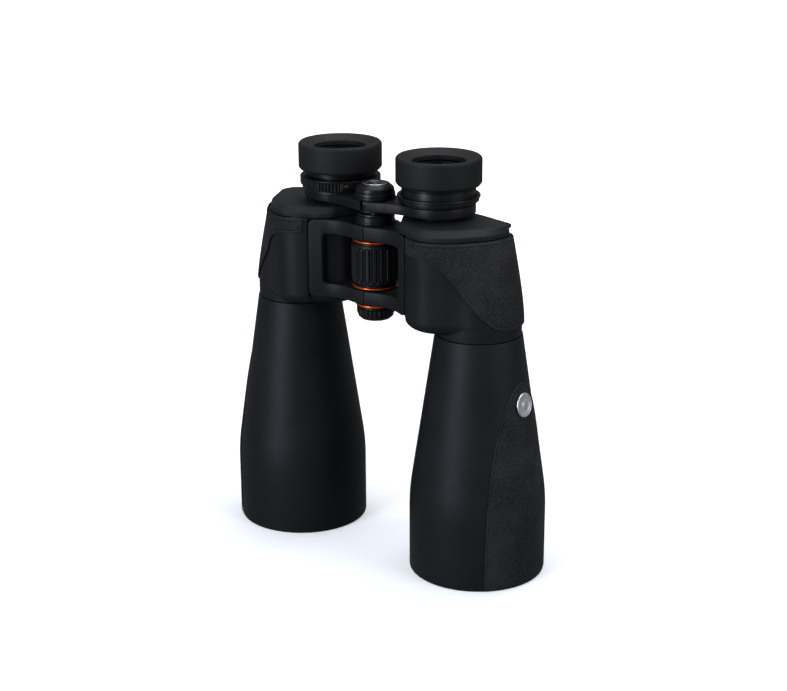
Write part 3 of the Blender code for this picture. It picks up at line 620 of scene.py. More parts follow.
for prefix in SIDES:
    refinish(prefix + "_prism_shelf", SHELF_PAINT)
    refinish(prefix + "_upper_prism", PRISM_GLASS)
    refinish(prefix + "_lower_prism", PRISM_GLASS)


# ---------------------------------------------------------------- housing grip panels
# The same grained rubber wraps the outer side of each housing: a narrow band under the rim that sweeps
# down behind the thumb and round to the back, with the same smooth raised border.

# The panel's lower border: place counted in outline points, and height.
HOUSING_PANEL_BORDER = numpy.array([
    (4.3, 203.5), (5.5, 203.0), (6.2, 202.0), (6.9, 199.2), (7.5, 193.3), (8.1, 184.8),
    (8.7, 176.4), (9.3, 167.2), (9.8, 161.5), (10.3, 159.6), (12.6, 159.6), (13.2, 162.5),
    (13.8, 172.0), (14.4, 186.0), (15.0, 198.0), (15.8, 203.0)])
HOUSING_PANEL_OFFSET = 0.30
BORDER_EASE = 0.32                       # how far its turns are eased, counted in outline points


def housing_panel_bottom(position):
    """The border's height, eased where it turns."""
    places, heights = HOUSING_PANEL_BORDER.T
    nearby = numpy.clip(position + numpy.linspace(-BORDER_EASE, BORDER_EASE, 9), places[0], places[-1])
    return float(numpy.interp(nearby, places, heights).mean())


def housing_panel(name, side, material):
    """The panel as a grid between its ends and from its lower border up to the rim."""
    front, back = HOUSING_PANEL_BORDER[0, 0], HOUSING_PANEL_BORDER[-1, 0]
    spread = 0.5 - 0.5 * numpy.cos(numpy.linspace(0.0, math.pi, 60))
    ends = 0.35 * spread + 0.65 * numpy.linspace(0.0, 1.0, 60)
    positions = front + (back - front) * ends
    rows = 0.5 - 0.5 * numpy.cos(numpy.linspace(0.0, math.pi, 60))
    top = HOUSING_TOP - 0.6
    base = numpy.zeros((len(rows), len(positions), 3))
    for column, position in enumerate(positions):
        low = housing_panel_bottom(position)
        index = int(position * OUTLINE_SAMPLES)
        share = position * OUTLINE_SAMPLES - index
        for row, part in enumerate(rows):
            height = low + (top - low) * part
            outline = housing_outline(height)
            here = outline[index] * (1.0 - share) + outline[index + 1] * share
            base[row, column] = (side * here[0], here[1], height)
    normals = numpy.cross(numpy.gradient(base, axis=1), numpy.gradient(base, axis=0))
    normals *= side / numpy.linalg.norm(normals, axis=-1, keepdims=True)
    steps = numpy.linalg.norm(numpy.diff(base[-1, :, :2], axis=0), axis=1)
    along = numpy.concatenate([[0.0], numpy.cumsum(steps)])
    flat = numpy.stack([numpy.repeat(along[None], len(rows), axis=0), base[..., 2]], axis=-1)
    rim = numpy.concatenate([flat[:, 0][::-1], flat[0], flat[:, -1]])
    border = distance_to_line(flat, rim)
    upper = numpy.maximum(0.0, top - base[..., 2])
    lifted = base + normals * HOUSING_PANEL_OFFSET
    return panel_shell(name, lifted, normals, panel_height(numpy.minimum(border, upper), upper), material)


for prefix, side in SIDES.items():
    skin = housing_panel(prefix + "_housing_grip_skin", side, GRAIN)
    stand_for(skin, prefix + "_housing_grip_panel")


# ---------------------------------------------------------------- prism covers
# A moulded lid closes each housing: a short upright edge, a broad chamfer along the front that dies out
# towards the outer tip, and a flat top with a round hole for the eyepiece sleeve.

COVER_EDGE_INSET = 1.3
COVER_WALL = 2.2
COVER_EDGE_TOP = 215.7
COVER_PLATE = 2.8                        # thickness of its top
SLEEVE_HOLE_R = 14.8
EYEPIECE_AXIS = measure("right_eyecup")[:2]
COVER_INNER = [(16.2, 1.6), (18.7, -7.2)]
COVER_FRONT = [(21.4, -14.0), (24.6, -21.8), (30.2, -27.2), (35.6, -29.8), (40.4, -32.6)]
COVER_TOP_OUTLINE = [
    (23.8, -13.8), (28.2, -19.2), (33.0, -22.0), (37.0, -24.6), (41.0, -27.0), (46.0, -29.2),
    (53.0, -30.2), (60.5, -27.6), (67.5, -20.8), (74.5, -13.0), (81.0, -5.0), (84.3, 1.5),
    (83.4, 8.6), (79.0, 12.8), (70.5, 16.4), (60.0, 19.4), (48.5, 21.6), (38.0, 21.8),
    (27.9, 18.9), (20.4, 11.3), (18.0, 1.8), (20.3, -7.1)]
COVER_RUBBER = satin_rubber("matt_cover_rubber", (0.0088, 0.0090, 0.0100), (0.0125, 0.0128, 0.0142), 0.50)


def cover_rings(side, low, high):
    """Rings in one loop: up the edge, over the chamfer and the top, down the hole, and back inside."""
    edge = offset(smooth_closed(COVER_FRONT + RIM_OUTLINE[5:20] + COVER_INNER), -COVER_EDGE_INSET)
    top = smooth_closed(COVER_TOP_OUTLINE)
    inner = offset(edge, -COVER_WALL)
    reach = 4.0
    section = eased([(-reach, low), (0.0, low, 0.35), (0.0, COVER_EDGE_TOP, 1.1), (reach, high, 1.3),
                     (2.0 * reach, high)], 6)[1:-1]
    rings = []
    for across, height in section:
        if across <= reach:
            outline = edge + (top - edge) * across / reach if across > 0.0 else offset(edge, across)
        else:
            outline = offset(top, reach - across)
        rings.append(raised(outline, side, height))
    hole = spread_round(top, EYEPIECE_AXIS, SLEEVE_HOLE_R + 0.3)
    bore = spread_round(top, EYEPIECE_AXIS, SLEEVE_HOLE_R)
    under = high - COVER_PLATE
    rings += [raised(hole, side, high), raised(bore, side, high - 0.3), raised(bore, side, under),
              raised(inner, side, under), raised(inner, side, low)]
    return rings


for prefix, side in SIDES.items():
    low, high = measure(prefix + "_prism_cover")[3:]
    lid = surface(prefix + "_prism_lid", cover_rings(side, low, high), COVER_RUBBER)
    stand_for(lid, prefix + "_prism_cover")


# ---------------------------------------------------------------- strap lugs
# A small loop of glossy black plastic is moulded on the outer back corner of each housing, level with
# its rim. The neck strap's webbing passes through its upright slot.

def gloss_plastic(name, colour=(0.0050, 0.0050, 0.0055), roughness=0.34):
    """Injection-moulded black plastic, slightly wavy, with fine handling marks in its gloss."""
    material, place = new_material(name)
    wave = place.noise(140.0, 2.0)
    marks = place.noise(900.0, 5.0).smooth_step(0.45, 0.75)
    rubbed = place.node("ShaderNodeNewGeometry", output="Pointiness").smooth_step(0.54, 0.68)
    worn = tuple(2.6 * channel for channel in colour)
    return dress(material, {
        "Base Color": (rubbed * 0.6).mix((*colour, 1.0), (*worn, 1.0)),
        "Roughness": roughness + 0.12 * marks,
        "Specular IOR Level": 0.32,
        "Normal": (wave + 0.1 * marks).bump(0.00002, 0.3)})


def plate(name, outlines, low, high, ease, material):
    """Flat plate from an outline and any holes in it, with all its edges rounded."""
    section = [(ease * (1.0 - math.sin(turn)), low + ease * (1.0 - math.cos(turn)))
               for turn in numpy.linspace(0.0, math.pi / 2.0, 5)]
    section += [(inset, low + high - height) for inset, height in section[::-1]]
    points = []
    faces = []
    caps = [[], []]
    for index, outline in enumerate(outlines):
        outline = numpy.asarray(outline, float)
        turn = numpy.roll(outline, -1, axis=0)
        area = (outline[:, 0] * turn[:, 1] - turn[:, 0] * outline[:, 1]).sum()
        inwards = -1.0 if index == 0 else 1.0
        direction = inwards * math.copysign(1.0, area)
        width = len(outline)
        start = len(points)
        for inset, height in section:
            moved = offset(outline, direction * inset)
            points.extend((x, y, height) for x, y in moved)
        for row in range(len(section) - 1):
            for column in range(width):
                here = start + row * width + column
                beside = start + row * width + (column + 1) % width
                faces.append((here, beside, beside + width, here + width))
        caps[0].append(list(range(start, start + width)))
        caps[1].append(list(range(start + width * (len(section) - 1), start + width * len(section))))
    for loops in caps:
        numbers = [number for loop in loops for number in loop]
        polygons = [[Vector((points[number][0], points[number][1], 0.0)) for number in loop]
                    for loop in loops]
        for triangle in geometry.tessellate_polygon(polygons):
            faces.append(tuple(numbers[corner] for corner in triangle))
    return make_piece(name, points, faces, material)


GLOSS_BLACK = gloss_plastic("gloss_black_plastic")
STRAP_LUG_FOOT = (66.4, 21.8)
STRAP_LUG_TURN = -17.0

for prefix, side in SIDES.items():
    low, high = measure(prefix + "_strap_lug")[3:]
    turn = Matrix.Rotation(math.radians(STRAP_LUG_TURN), 2)
    loop = [(-8.6, 0.0, 0.4), (8.6, 0.0, 0.4), (8.6, 4.6, 1.0), (6.9, 7.4, 0.9), (-6.9, 7.4, 0.9),
            (-8.6, 4.6, 1.0)]
    slot = [(-6.4, 0.9, 0.5), (6.4, 0.9, 0.5), (6.4, 6.3, 0.8), (-6.4, 6.3, 0.8)]
    outlines = []
    for corners in (loop, slot):
        placed = [Vector(STRAP_LUG_FOOT) + turn @ Vector(point) for point in eased(corners)]
        outlines.append([(side * point.x, point.y) for point in placed])
    lug = plate(prefix + "_strap_loop", outlines, low, high, 0.7, GLOSS_BLACK)
    stand_for(lug, prefix + "_strap_lug")


# ---------------------------------------------------------------- hinge brackets
# A cast side plate on each housing carries two arms that reach to the hinge. The arms end in knuckles
# that interleave on the hinge's axis, and the whole is skinned in the same satin rubber.

HINGE = measure("focus_wheel_core")[:2]
LUG_R = 15.15
SKIRT_R = 12.9
KNUCKLE_R = 12.5
SKIRT_END = 62.0                         # back end of a knuckle's skirt, degrees from +X
HALF_GAP = 0.15
SEAM_X = 1.9                             # front seam between the two halves' skirts
WINDOW_X = 29.4
BRACKET_X = 37.25
BRACKET_R = 4.6
WINDOW_R = 3.0
LOWER_ARM = (162.8, 171.3)
UPPER_ARM = (203.2, 212.0)


def polar(centre, radius, angle):
    turn = math.radians(angle)
    return (centre[0] + radius * math.cos(turn), centre[1] + radius * math.sin(turn))


def arc(centre, radius, start, end, count):
    return [polar(centre, radius, start + (end - start) * step / count) for step in range(count + 1)]


def smooth_open(points, samples):
    """Smooth curve through points, from the first to the last."""
    padded = numpy.array([points[0], *points, points[-1]])
    curve = spline(padded[:-3], padded[1:-2], padded[2:-1], padded[3:], samples)
    return [tuple(point) for point in curve] + [points[-1]]


def combine(piece, other, operation):
    """Cut, join or intersect a piece with another, which is used up."""
    modifier = piece.modifiers.new("combine", "BOOLEAN")
    modifier.operation = operation
    modifier.solver = "EXACT"
    modifier.object = other
    settle(piece)
    bpy.data.objects.remove(other, do_unlink=True)


def settle(piece):
    """Apply a piece's modifiers to its mesh."""
    bpy.context.view_layer.update()
    evaluated = piece.evaluated_get(bpy.context.evaluated_depsgraph_get())
    piece.data = bpy.data.meshes.new_from_object(evaluated)
    piece.modifiers.clear()


def mirrored(points, side):
    return [(side * x, y) for x, y in points]


def knuckle(name, side, low, high, bore, front, outer):
    """Ring that belongs to one half's skirt, from its front angle, and stays clear of the other's."""
    own = arc(HINGE, SKIRT_R + 0.5, front + 1.5, SKIRT_END - 4.0, 24)
    rest = arc(HINGE, outer, SKIRT_END + 4.0, front + 359.0, 40)
    hole = arc(HINGE, bore, 0.0, 360.0, 48)[:-1]
    return plate(name, [mirrored(own + rest, side), mirrored(hole, side)], low, high, 0.35, ARMOUR)


def half_of(span, side):
    """The left half has the lower part of a knuckle's height and the right half the upper part."""
    middle = (span[0] + span[1]) / 2.0
    return (span[0] + 0.05, middle - HALF_GAP) if side < 0.0 else (middle + HALF_GAP, span[1] - 0.05)


def bracket(name, side):
    """Side plate and arms in one body: a tall block cut to their face and window, then eased."""
    seam = HALF_GAP + SEAM_X * side
    seam_angle = math.degrees(math.asin(seam / SKIRT_R)) - 90.0
    wall = offset(housing_outline(UPPER_ARM[0] - 0.8), 0.4)
    back = [tuple(point) for point in wall[3 * OUTLINE_SAMPLES - 2::-2]]
    front = smooth_open([(seam, HINGE[1] - LUG_R + 0.25), (6.0, -24.3), (10.0, -23.2), (15.0, -22.4),
                         (20.0, -22.5), (25.0, -23.8), (29.4, -25.9), (33.8, -28.2),
                         (BRACKET_X, -30.2)], 5)
    corner = [(BRACKET_X, -28.0)]
    skirt = [(19.0, -4.5), polar(HINGE, LUG_R, SKIRT_END)]
    inside = arc(HINGE, SKIRT_R, SKIRT_END, seam_angle, 40)
    body = plate(name, [mirrored(front + corner + back + skirt + inside, side)], LOWER_ARM[0] - 1.0,
                 UPPER_ARM[1] + 1.0, 0.0, ARMOUR)
    low, high = LOWER_ARM[0], UPPER_ARM[1]
    face = eased([(-4.0, low), (BRACKET_X, low, BRACKET_R), (BRACKET_X, high, BRACKET_R), (-4.0, high)], 10)
    window = eased([(-3.0, LOWER_ARM[1]), (WINDOW_X, LOWER_ARM[1], WINDOW_R),
                    (WINDOW_X, UPPER_ARM[0], WINDOW_R), (-3.0, UPPER_ARM[0])], 8)
    stand = Matrix.Rotation(math.radians(90.0), 4, "X")
    for outline, operation in ((face, "INTERSECT"), (window, "DIFFERENCE")):
        tool = plate("tool", [mirrored(outline, side)], -30.0, 60.0, 0.0, ARMOUR)
        tool.data.transform(stand)
        combine(body, tool, operation)
    bevel = body.modifiers.new("ease", "BEVEL")
    bevel.width = 0.7 * MM
    bevel.segments = 3
    bevel.limit_method = "ANGLE"
    bevel.angle_limit = math.radians(38.0)
    bevel.use_clamp_overlap = False
    settle(body)
    for span in (LOWER_ARM, UPPER_ARM):
        ring = knuckle("knuckle", side, *half_of(span, side), 6.3, seam_angle, KNUCKLE_R)
        combine(body, ring, "UNION")
    body.data.shade_smooth()
    body.data.set_sharp_from_angle(angle=math.radians(38.0))
    return body


for prefix, side in SIDES.items():
    stand_for(bracket(prefix + "_hinge_arms", side), prefix + "_hinge_bracket")


# ---------------------------------------------------------------- hinge tube, pin and collar
# Inside the knuckles a blackened tube and a steel pin take the hinge's load, and the pin holds a brass
# bush with the tripod thread. A glossy collar over the upper knuckle covers the tube's end.

STEEL = turned_metal("turned_steel", (0.52, 0.53, 0.55), 1.0, 0.26, HINGE)
BLACKENED = turned_metal("blackened_steel", (0.020, 0.020, 0.022), 0.7, 0.34, HINGE)
BRASS = turned_metal("plain_brass", (0.66, 0.47, 0.18), 1.0, 0.28, HINGE)
refinish("hinge_tube", BLACKENED)
refinish("hinge_pin", STEEL)
refinish("tripod_bush", BRASS)

_, _, radius, low, high = measure("hinge_collar")
collar = turned("hinge_collar_ring",
                eased([(radius, low, 0.3), (6.3, low), (6.3, high), (radius - 1.9, high, 0.4),
                       (radius - 1.5, high - 1.1, 0.3), (radius - 0.5, high - 1.7, 0.5),
                       (radius - 0.5, low + 1.7, 0.2), (radius, low + 1.4, 0.3)]),
                HINGE, GLOSS_BLACK, 128)
stand_for(collar, "hinge_collar")


# ---------------------------------------------------------------- focus wheel
# The wheel is a black drum with a grained sleeve of raised oval ribs, so that a gloved finger can turn
# it. A thin orange anodised ring sits above it and another below.

WHEEL_RIBS = 20
RIB_HALF_LENGTH = 9.3
RIB_HALF_WIDTH = 1.3
RIB_HEIGHT = 0.35
RIB_GROOVE_DEPTH = 0.6
RIB_GROOVE_WIDTH = 0.26
RIB_BASE_DROP = 0.3
WHEEL_RUBBER = satin_rubber("wheel_sleeve_rubber", (0.0062, 0.0062, 0.0066), (0.0100, 0.0100, 0.0108), 0.34)
ORANGE = turned_metal("orange_anodised", (1.0, 0.15, 0.020), 0.8, 0.27, HINGE)


def wheel_relief(middle):
    """Oval ribs with a groove round each, as a change of radius."""
    def relief(angles, radius, height):
        if radius < 14.0:
            return numpy.zeros_like(angles)
        pitch = 2.0 * math.pi / WHEEL_RIBS
        across = ((angles + pitch / 2.0) % pitch - pitch / 2.0) * radius
        beyond = max(0.0, abs(height - middle) - RIB_HALF_LENGTH)
        reach = numpy.sqrt(across ** 2 + beyond ** 2)
        rib = RIB_HEIGHT * numpy.sqrt(numpy.clip(1.0 - (reach / RIB_HALF_WIDTH) ** 4, 0.0, 1.0))
        from_groove = (reach - RIB_HALF_WIDTH - 0.3) / RIB_GROOVE_WIDTH
        return rib - RIB_GROOVE_DEPTH * numpy.exp(-from_groove ** 2) - RIB_BASE_DROP
    return relief


def finely(profile, step):
    """The same profile with its long stretches divided."""
    points = []
    for start, end in zip(profile, profile[1:] + profile[:1]):
        parts = max(1, int(math.dist(start, end) / step))
        points += [tuple(numpy.array(start) + (numpy.array(end) - numpy.array(start)) * part / parts)
                   for part in range(parts)]
    return points


_, _, radius, low, high = measure("focus_wheel_core")
core = turned("focus_wheel_drum",
              eased([(radius, high, 0.5), (radius, high - 1.0, 0.2), (13.0, high - 1.0), (13.0, low + 1.0),
                     (radius, low + 1.0, 0.2), (radius, low, 0.5), (4.5, low, 0.3), (4.5, high, 0.3)]),
              HINGE, GLOSS_BLACK, 160)
stand_for(core, "focus_wheel_core")

_, _, radius, low, high = measure("focus_wheel_grip")
sleeve = finely(eased([(radius - 0.5, high, 0.3), (radius, high - 1.3, 0.8), (radius, low + 1.3, 0.8),
                       (radius - 0.5, low, 0.3), (13.3, low), (13.3, high)]), 0.4)
grip = turned("focus_wheel_sleeve", sleeve, HINGE, WHEEL_RUBBER, WHEEL_RIBS * 24,
              wheel_relief((low + high) / 2.0))
stand_for(grip, "focus_wheel_grip")

for node, bore in (("lower_wheel_ring", 8.0), ("upper_wheel_ring", 8.0), ("tripod_cap_ring", 3.2)):
    _, _, radius, low, high = measure(node)
    round_edge = 0.35 * (high - low)
    ring = turned(node.replace("ring", "band"),
                  eased([(radius, high, round_edge), (radius, low, round_edge), (bore, low), (bore, high)]),
                  HINGE, ORANGE, 160)
    stand_for(ring, node)


# ---------------------------------------------------------------- tripod cap
# A moulded screw cap closes the tripod socket under the hinge. Short flutes round its side give grip,
# and its end is domed.

CAP_FLUTES = 24
FLUTE_DEPTH = 0.55
CAP_PLASTIC = gloss_plastic("cap_plastic", (0.0040, 0.0040, 0.0044), 0.34)


def cap_flutes(low, high):
    """Flutes round the side, deepest at half their height."""
    def relief(angles, radius, height):
        if radius < 9.0:
            return numpy.zeros_like(angles)
        fade = min(1.0, max(0.0, (height - low) / 1.2)) * min(1.0, max(0.0, (high - height) / 0.8))
        wave = 0.5 + 0.5 * numpy.cos(angles * CAP_FLUTES)
        return -FLUTE_DEPTH * fade * wave ** 3
    return relief


_, _, radius, low, high = measure("tripod_cap")
shoulder = measure("tripod_cap_ring")[3] - 0.3
side_line = finely([(radius, shoulder - 0.6), (radius, low + 4.4)], 0.45)[:-1]
dome = eased([(0.0, high), (2.3, high), (2.8, high - 0.6), (2.8, shoulder), (radius, shoulder, 0.5)]
             + side_line + [(radius - 0.8, low + 2.2, 1.2), (radius - 2.6, low + 0.5, 1.2),
                            (radius - 4.6, low, 1.0), (0.0, low)])
tripod_cap = turned("tripod_screw_cap", dome, HINGE, CAP_PLASTIC, CAP_FLUTES * 12,
                    cap_flutes(low + 2.0, shoulder - 0.9))
stand_for(tripod_cap, "tripod_cap")


# ---------------------------------------------------------------- focusing bridge
# The focusing screw lifts a blackened post that carries both eyepiece arms. A domed black cap with
# turned bands covers the post, and a lacquered disc with fine bright rings is set in its top.

refinish("bridge_post", BLACKENED)
refinish("focus_screw", STEEL)

low, high = measure("bridge_cap")[3:]
cap_profile = eased([(0.0, high - 0.6), (7.5, high - 0.6), (7.7, high, 0.15), (8.6, high, 0.5),
                     (11.6, high - 2.6, 1.6), (12.0, low + 4.5, 0.3), (11.7, low + 4.3), (11.7, low + 4.0),
                     (12.2, low + 3.8, 0.3), (12.6, low + 2.2, 0.3), (12.2, low + 2.0), (12.2, low + 1.7),
                     (12.6, low + 1.5, 0.3), (12.6, low, 0.3), (8.3, low), (8.3, low + 3.9),
                     (0.0, low + 3.9)])
cap = turned("bridge_dome", cap_profile, HINGE, GLOSS_BLACK, 160)
stand_for(cap, "bridge_cap")


def inlaid_disc(name, axis, pitch):
    """Black lacquer with fine bright rings that show the aluminium under it."""
    material, place = new_material(name)
    rings = (distance_from_axis(place, axis) * (2.0 * math.pi / pitch)).sine()
    bright = rings.smooth_step(0.75, 0.9)
    scuff = place.noise(700.0, 3.0)
    return dress(material, {
        "Base Color": bright.mix((0.006, 0.006, 0.007, 1.0), (0.70, 0.71, 0.73, 1.0)),
        "Metallic": bright * 0.9,
        "Roughness": 0.22 + 0.12 * scuff,
        "Normal": (bright + 0.1 * scuff).bump(0.00005, 0.5)})


_, _, radius, low, high = measure("bridge_emblem")
disc = turned("bridge_disc",
              eased([(0.0, high - 0.25), (2.2, high - 0.25), (2.5, high, 0.1), (3.0, high, 0.1),
                     (3.3, high - 0.3), (5.2, high - 0.3), (5.5, high, 0.1), (radius - 0.5, high, 0.2),
                     (radius, low + 0.1), (radius, low), (0.0, low)]),
              HINGE, inlaid_disc("bridge_inlay", HINGE, 0.0022), 128)
stand_for(disc, "bridge_emblem")


# ---------------------------------------------------------------- eyepiece arms
# Two flat cast arms, sprayed satin black, reach from the bridge post out to a ring round each eyepiece.
# Their inner ends interleave as knuckles so that the halves can fold.

ARM_RING_R = 22.5
ARM_SLOT = 1.25
TUBE_HOLE_R = 19.3
ARM_PAINT = satin_rubber("satin_black_paint", (0.0062, 0.0063, 0.0070), (0.0082, 0.0084, 0.0094), 0.33)


def eyepiece_arm(name, side, low, high):
    """Flat arm with its eyepiece ring and its knuckle. The left ring is lower, under the diopter ring."""
    axis = EYEPIECE_AXIS
    front = smooth_open([(ARM_SLOT, -23.3), (11.0, -21.7), (18.0, -19.6), (24.5, -18.2)], 6)
    outline = (front + arc(axis, ARM_RING_R, -110.0, 150.0, 60) + [polar(HINGE, LUG_R - 0.4, SKIRT_END)]
               + arc(HINGE, SKIRT_R - 1.0, SKIRT_END, -84.0, 30))
    hole = arc(axis, TUBE_HOLE_R, 0.0, 360.0, 96)[:-1]
    arm = plate(name, [mirrored(outline, side), mirrored(hole, side)], low, high, 0.6, ARM_PAINT)
    ring = knuckle("knuckle", side, *half_of((low, high), side), 8.3, -87.0, SKIRT_R - 1.4)
    combine(arm, ring, "UNION")
    if side < 0.0:
        relief = turned("relief", [(24.8, high + 2.0), (24.8, high - 1.4), (18.0, high - 1.4),
                                   (18.0, high + 2.0)], (side * axis[0], axis[1]), ARM_PAINT, 128)
        combine(arm, relief, "DIFFERENCE")
    arm.data.shade_smooth()
    arm.data.set_sharp_from_angle(angle=math.radians(38.0))
    return arm


for prefix, side in SIDES.items():
    low, high = measure(prefix + "_eyepiece_arm")[3:]
    arm = eyepiece_arm(prefix + "_bridge_arm", side, low, high)
    stand_for(arm, prefix + "_eyepiece_arm")


# ---------------------------------------------------------------- eyepiece tubes
# Each eyepiece is a turned tube: a sleeve that slides in the prism cover, the part held by the arm's
# ring, a glossy neck, and the spigot that the eyecup rides on. It holds the field and eye lenses.

SPIGOT_R = 20.4
SPIGOT_LOW = 238.2
NECK_GROOVE_Z = 237.1
NECK_GROOVE_DEPTH = 0.35
ARM_SEAT_R = 19.0                        # the part that the arm's ring holds
ARM_SEAT_LOW = 221.0
SLEEVE_R = 14.5
SLEEVE_BORE_R = 12.6
LENS_SEAT_R = 15.0
LENS_SEAT_LOW = 234.0
EYE_LENS_RIM = (240.0, 243.0)
EYE_LENS_BULGE = (1.5, 2.4)
# The left neck is shorter, because it stands on the diopter ring.
NECK_LOW = {"left": measure("left_diopter_ring")[4] + 1.3, "right": measure("right_eyepiece_arm")[4] + 0.3}


def tube_profile(neck_r, neck_low, low, high):
    """From the spigot down the neck and the sleeve, and back up the bore."""
    groove_r = neck_r - NECK_GROOVE_DEPTH
    return eased([(SPIGOT_R, high, 0.4), (SPIGOT_R, SPIGOT_LOW), (neck_r, SPIGOT_LOW, 0.4),
                  (neck_r, NECK_GROOVE_Z + 0.5, 0.15), (groove_r, NECK_GROOVE_Z + 0.2),
                  (groove_r, NECK_GROOVE_Z - 0.2), (neck_r, NECK_GROOVE_Z - 0.5, 0.15),
                  (neck_r, neck_low, 0.2), (ARM_SEAT_R, neck_low), (ARM_SEAT_R, ARM_SEAT_LOW, 0.5),
                  (SLEEVE_R, ARM_SEAT_LOW), (SLEEVE_R, low, 0.4), (SLEEVE_BORE_R, low),
                  (SLEEVE_BORE_R, ARM_SEAT_LOW + 1.0), (LENS_SEAT_R, LENS_SEAT_LOW), (LENS_SEAT_R, high)])


for prefix in SIDES:
    x, y, radius, low, high = measure(prefix + "_eyepiece_tube")
    profile = tube_profile(radius, NECK_LOW[prefix], low, high)
    tube = turned(prefix + "_eyepiece_barrel", profile, (x, y), GLOSS_BLACK, 160)
    stand_for(tube, prefix + "_eyepiece_tube")
    refinish(prefix + "_field_lens", LENS_GLASS)
    eye = lens(prefix + "_eye_glass", (x, y), measure(prefix + "_eye_lens")[2], EYE_LENS_RIM,
               EYE_LENS_BULGE, LENS_GLASS)
    stand_for(eye, prefix + "_eye_lens")


# ---------------------------------------------------------------- diopter ring and eyepiece flange
# The left eyepiece turns in a glossy diopter ring with one ribbed stretch for the thumb and a light
# index line beside it. The right one has a plain stepped flange ring in its place.

RIBBED = (-95.0, -48.0)                  # start and end of the ribbed stretch, degrees from +X
RIB_PITCH = 5.2
RIB_ROOT_R = 24.2
RIB_RISE = 0.85
DIOPTER_FOOT_R = 23.9                    # under the ring's wider upper part
DIOPTER_FOOT_Z = 228.9
INDEX_ANGLE = -42.5
INDEX_HALF_LENGTH = 1.1
INDEX_HALF_HEIGHT = 0.3


def diopter_relief(low, high):
    """Upright ribs over one stretch of the ring, standing in a shallow pocket."""
    def relief(angles, radius, height):
        if radius < 23.0:
            return numpy.zeros_like(angles)
        degrees = (numpy.degrees(angles) + 180.0) % 360.0 - 180.0
        inside = numpy.minimum(degrees - RIBBED[0], RIBBED[1] - degrees)
        level = min(height - low, high - height)
        frame_part = numpy.clip(inside / 0.8, 0.0, 1.0) * min(1.0, max(0.0, level / 0.4))
        wave = 0.5 + 0.5 * numpy.cos(2.0 * math.pi * (degrees - RIBBED[0]) / RIB_PITCH)
        return frame_part * (RIB_ROOT_R + RIB_RISE * wave ** 0.7 - radius)
    return relief


x, y, radius, low, high = measure("left_diopter_ring")
ring_profile = finely(eased([(radius, high, 0.5), (radius, DIOPTER_FOOT_Z + 0.7, 0.4),
                             (DIOPTER_FOOT_R, DIOPTER_FOOT_Z, 0.3), (DIOPTER_FOOT_R, low, 0.4),
                             (TUBE_HOLE_R, low), (TUBE_HOLE_R, high)]), 0.5)
ring = turned("left_diopter_grip", ring_profile, (x, y), GLOSS_BLACK, 720,
              diopter_relief(low + 2.0, high - 0.5))
stand_for(ring, "left_diopter_ring")

INDEX_WHITE = satin_rubber("index_white", (0.50, 0.50, 0.50), (0.62, 0.62, 0.61), 0.4)
half_angle = math.degrees(INDEX_HALF_LENGTH / radius)
index_height = 0.5 * (low + high) + 1.8
inlay = [arc((x, y), radius + reach, INDEX_ANGLE - half_angle, INDEX_ANGLE + half_angle, 8)
         for reach in (-0.2, 0.0)]
dash = plate("left_diopter_index", [inlay[1] + inlay[0][::-1]], index_height - INDEX_HALF_HEIGHT,
             index_height + INDEX_HALF_HEIGHT, 0.05, INDEX_WHITE)
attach(dash, BODY_OF["left_diopter_ring"])

x, y, radius, low, high = measure("right_eyepiece_flange")
flange = turned("right_flange_ring",
                eased([(radius, high, 0.5), (radius, high - 1.2, 0.4), (radius - 0.8, high - 1.5),
                       (radius - 0.8, low, 0.3), (22.8, low), (22.8, high, 0.3)]),
                (x, y), GLOSS_BLACK, 160)
stand_for(flange, "right_eyepiece_flange")


# ---------------------------------------------------------------- eyecups
# Soft satin rubber cups twist up on black glide rings. Each has a straight side with a chamfered lower
# edge, a rounded lip, and a bowl that slopes in to the opening in front of the eye lens.

CUP_RUBBER = satin_rubber("eyecup_rubber", (0.0090, 0.0090, 0.0096), (0.0120, 0.0120, 0.0130), 0.52)
CUP_BORE_R = 22.9
CUP_OPENING_R = 16.3
CUP_OPENING_Z = 249.6                    # underside of the bowl, above the eyepiece tube

for prefix in SIDES:
    x, y, radius, low, high = measure(prefix + "_eyecup")
    cup = turned(prefix + "_eyecup_rubber",
                 eased([(radius - 1.3, high, 1.0), (radius, high - 1.4, 1.6), (radius, low + 1.5, 0.8),
                        (radius - 1.2, low, 0.4), (CUP_BORE_R, low, 0.3), (CUP_BORE_R, CUP_OPENING_Z),
                        (CUP_OPENING_R, CUP_OPENING_Z, 0.3), (CUP_OPENING_R, CUP_OPENING_Z + 2.9, 0.5),
                        (CUP_OPENING_R + 2.2, CUP_OPENING_Z + 3.5), (22.5, high - 0.7, 1.5)], 6),
                 (x, y), CUP_RUBBER, 192)
    stand_for(cup, prefix + "_eyecup")
    refinish(prefix + "_eyecup_glide_ring",
             turned_metal(prefix + "_glide_black", (0.028, 0.028, 0.030), 0.6, 0.36, (x, y)))


# ---------------------------------------------------------------- badge
# A small bright disc is glued near the top of the right barrel's grip panel. Its rim is polished and
# its face is a plain field with turned rings.

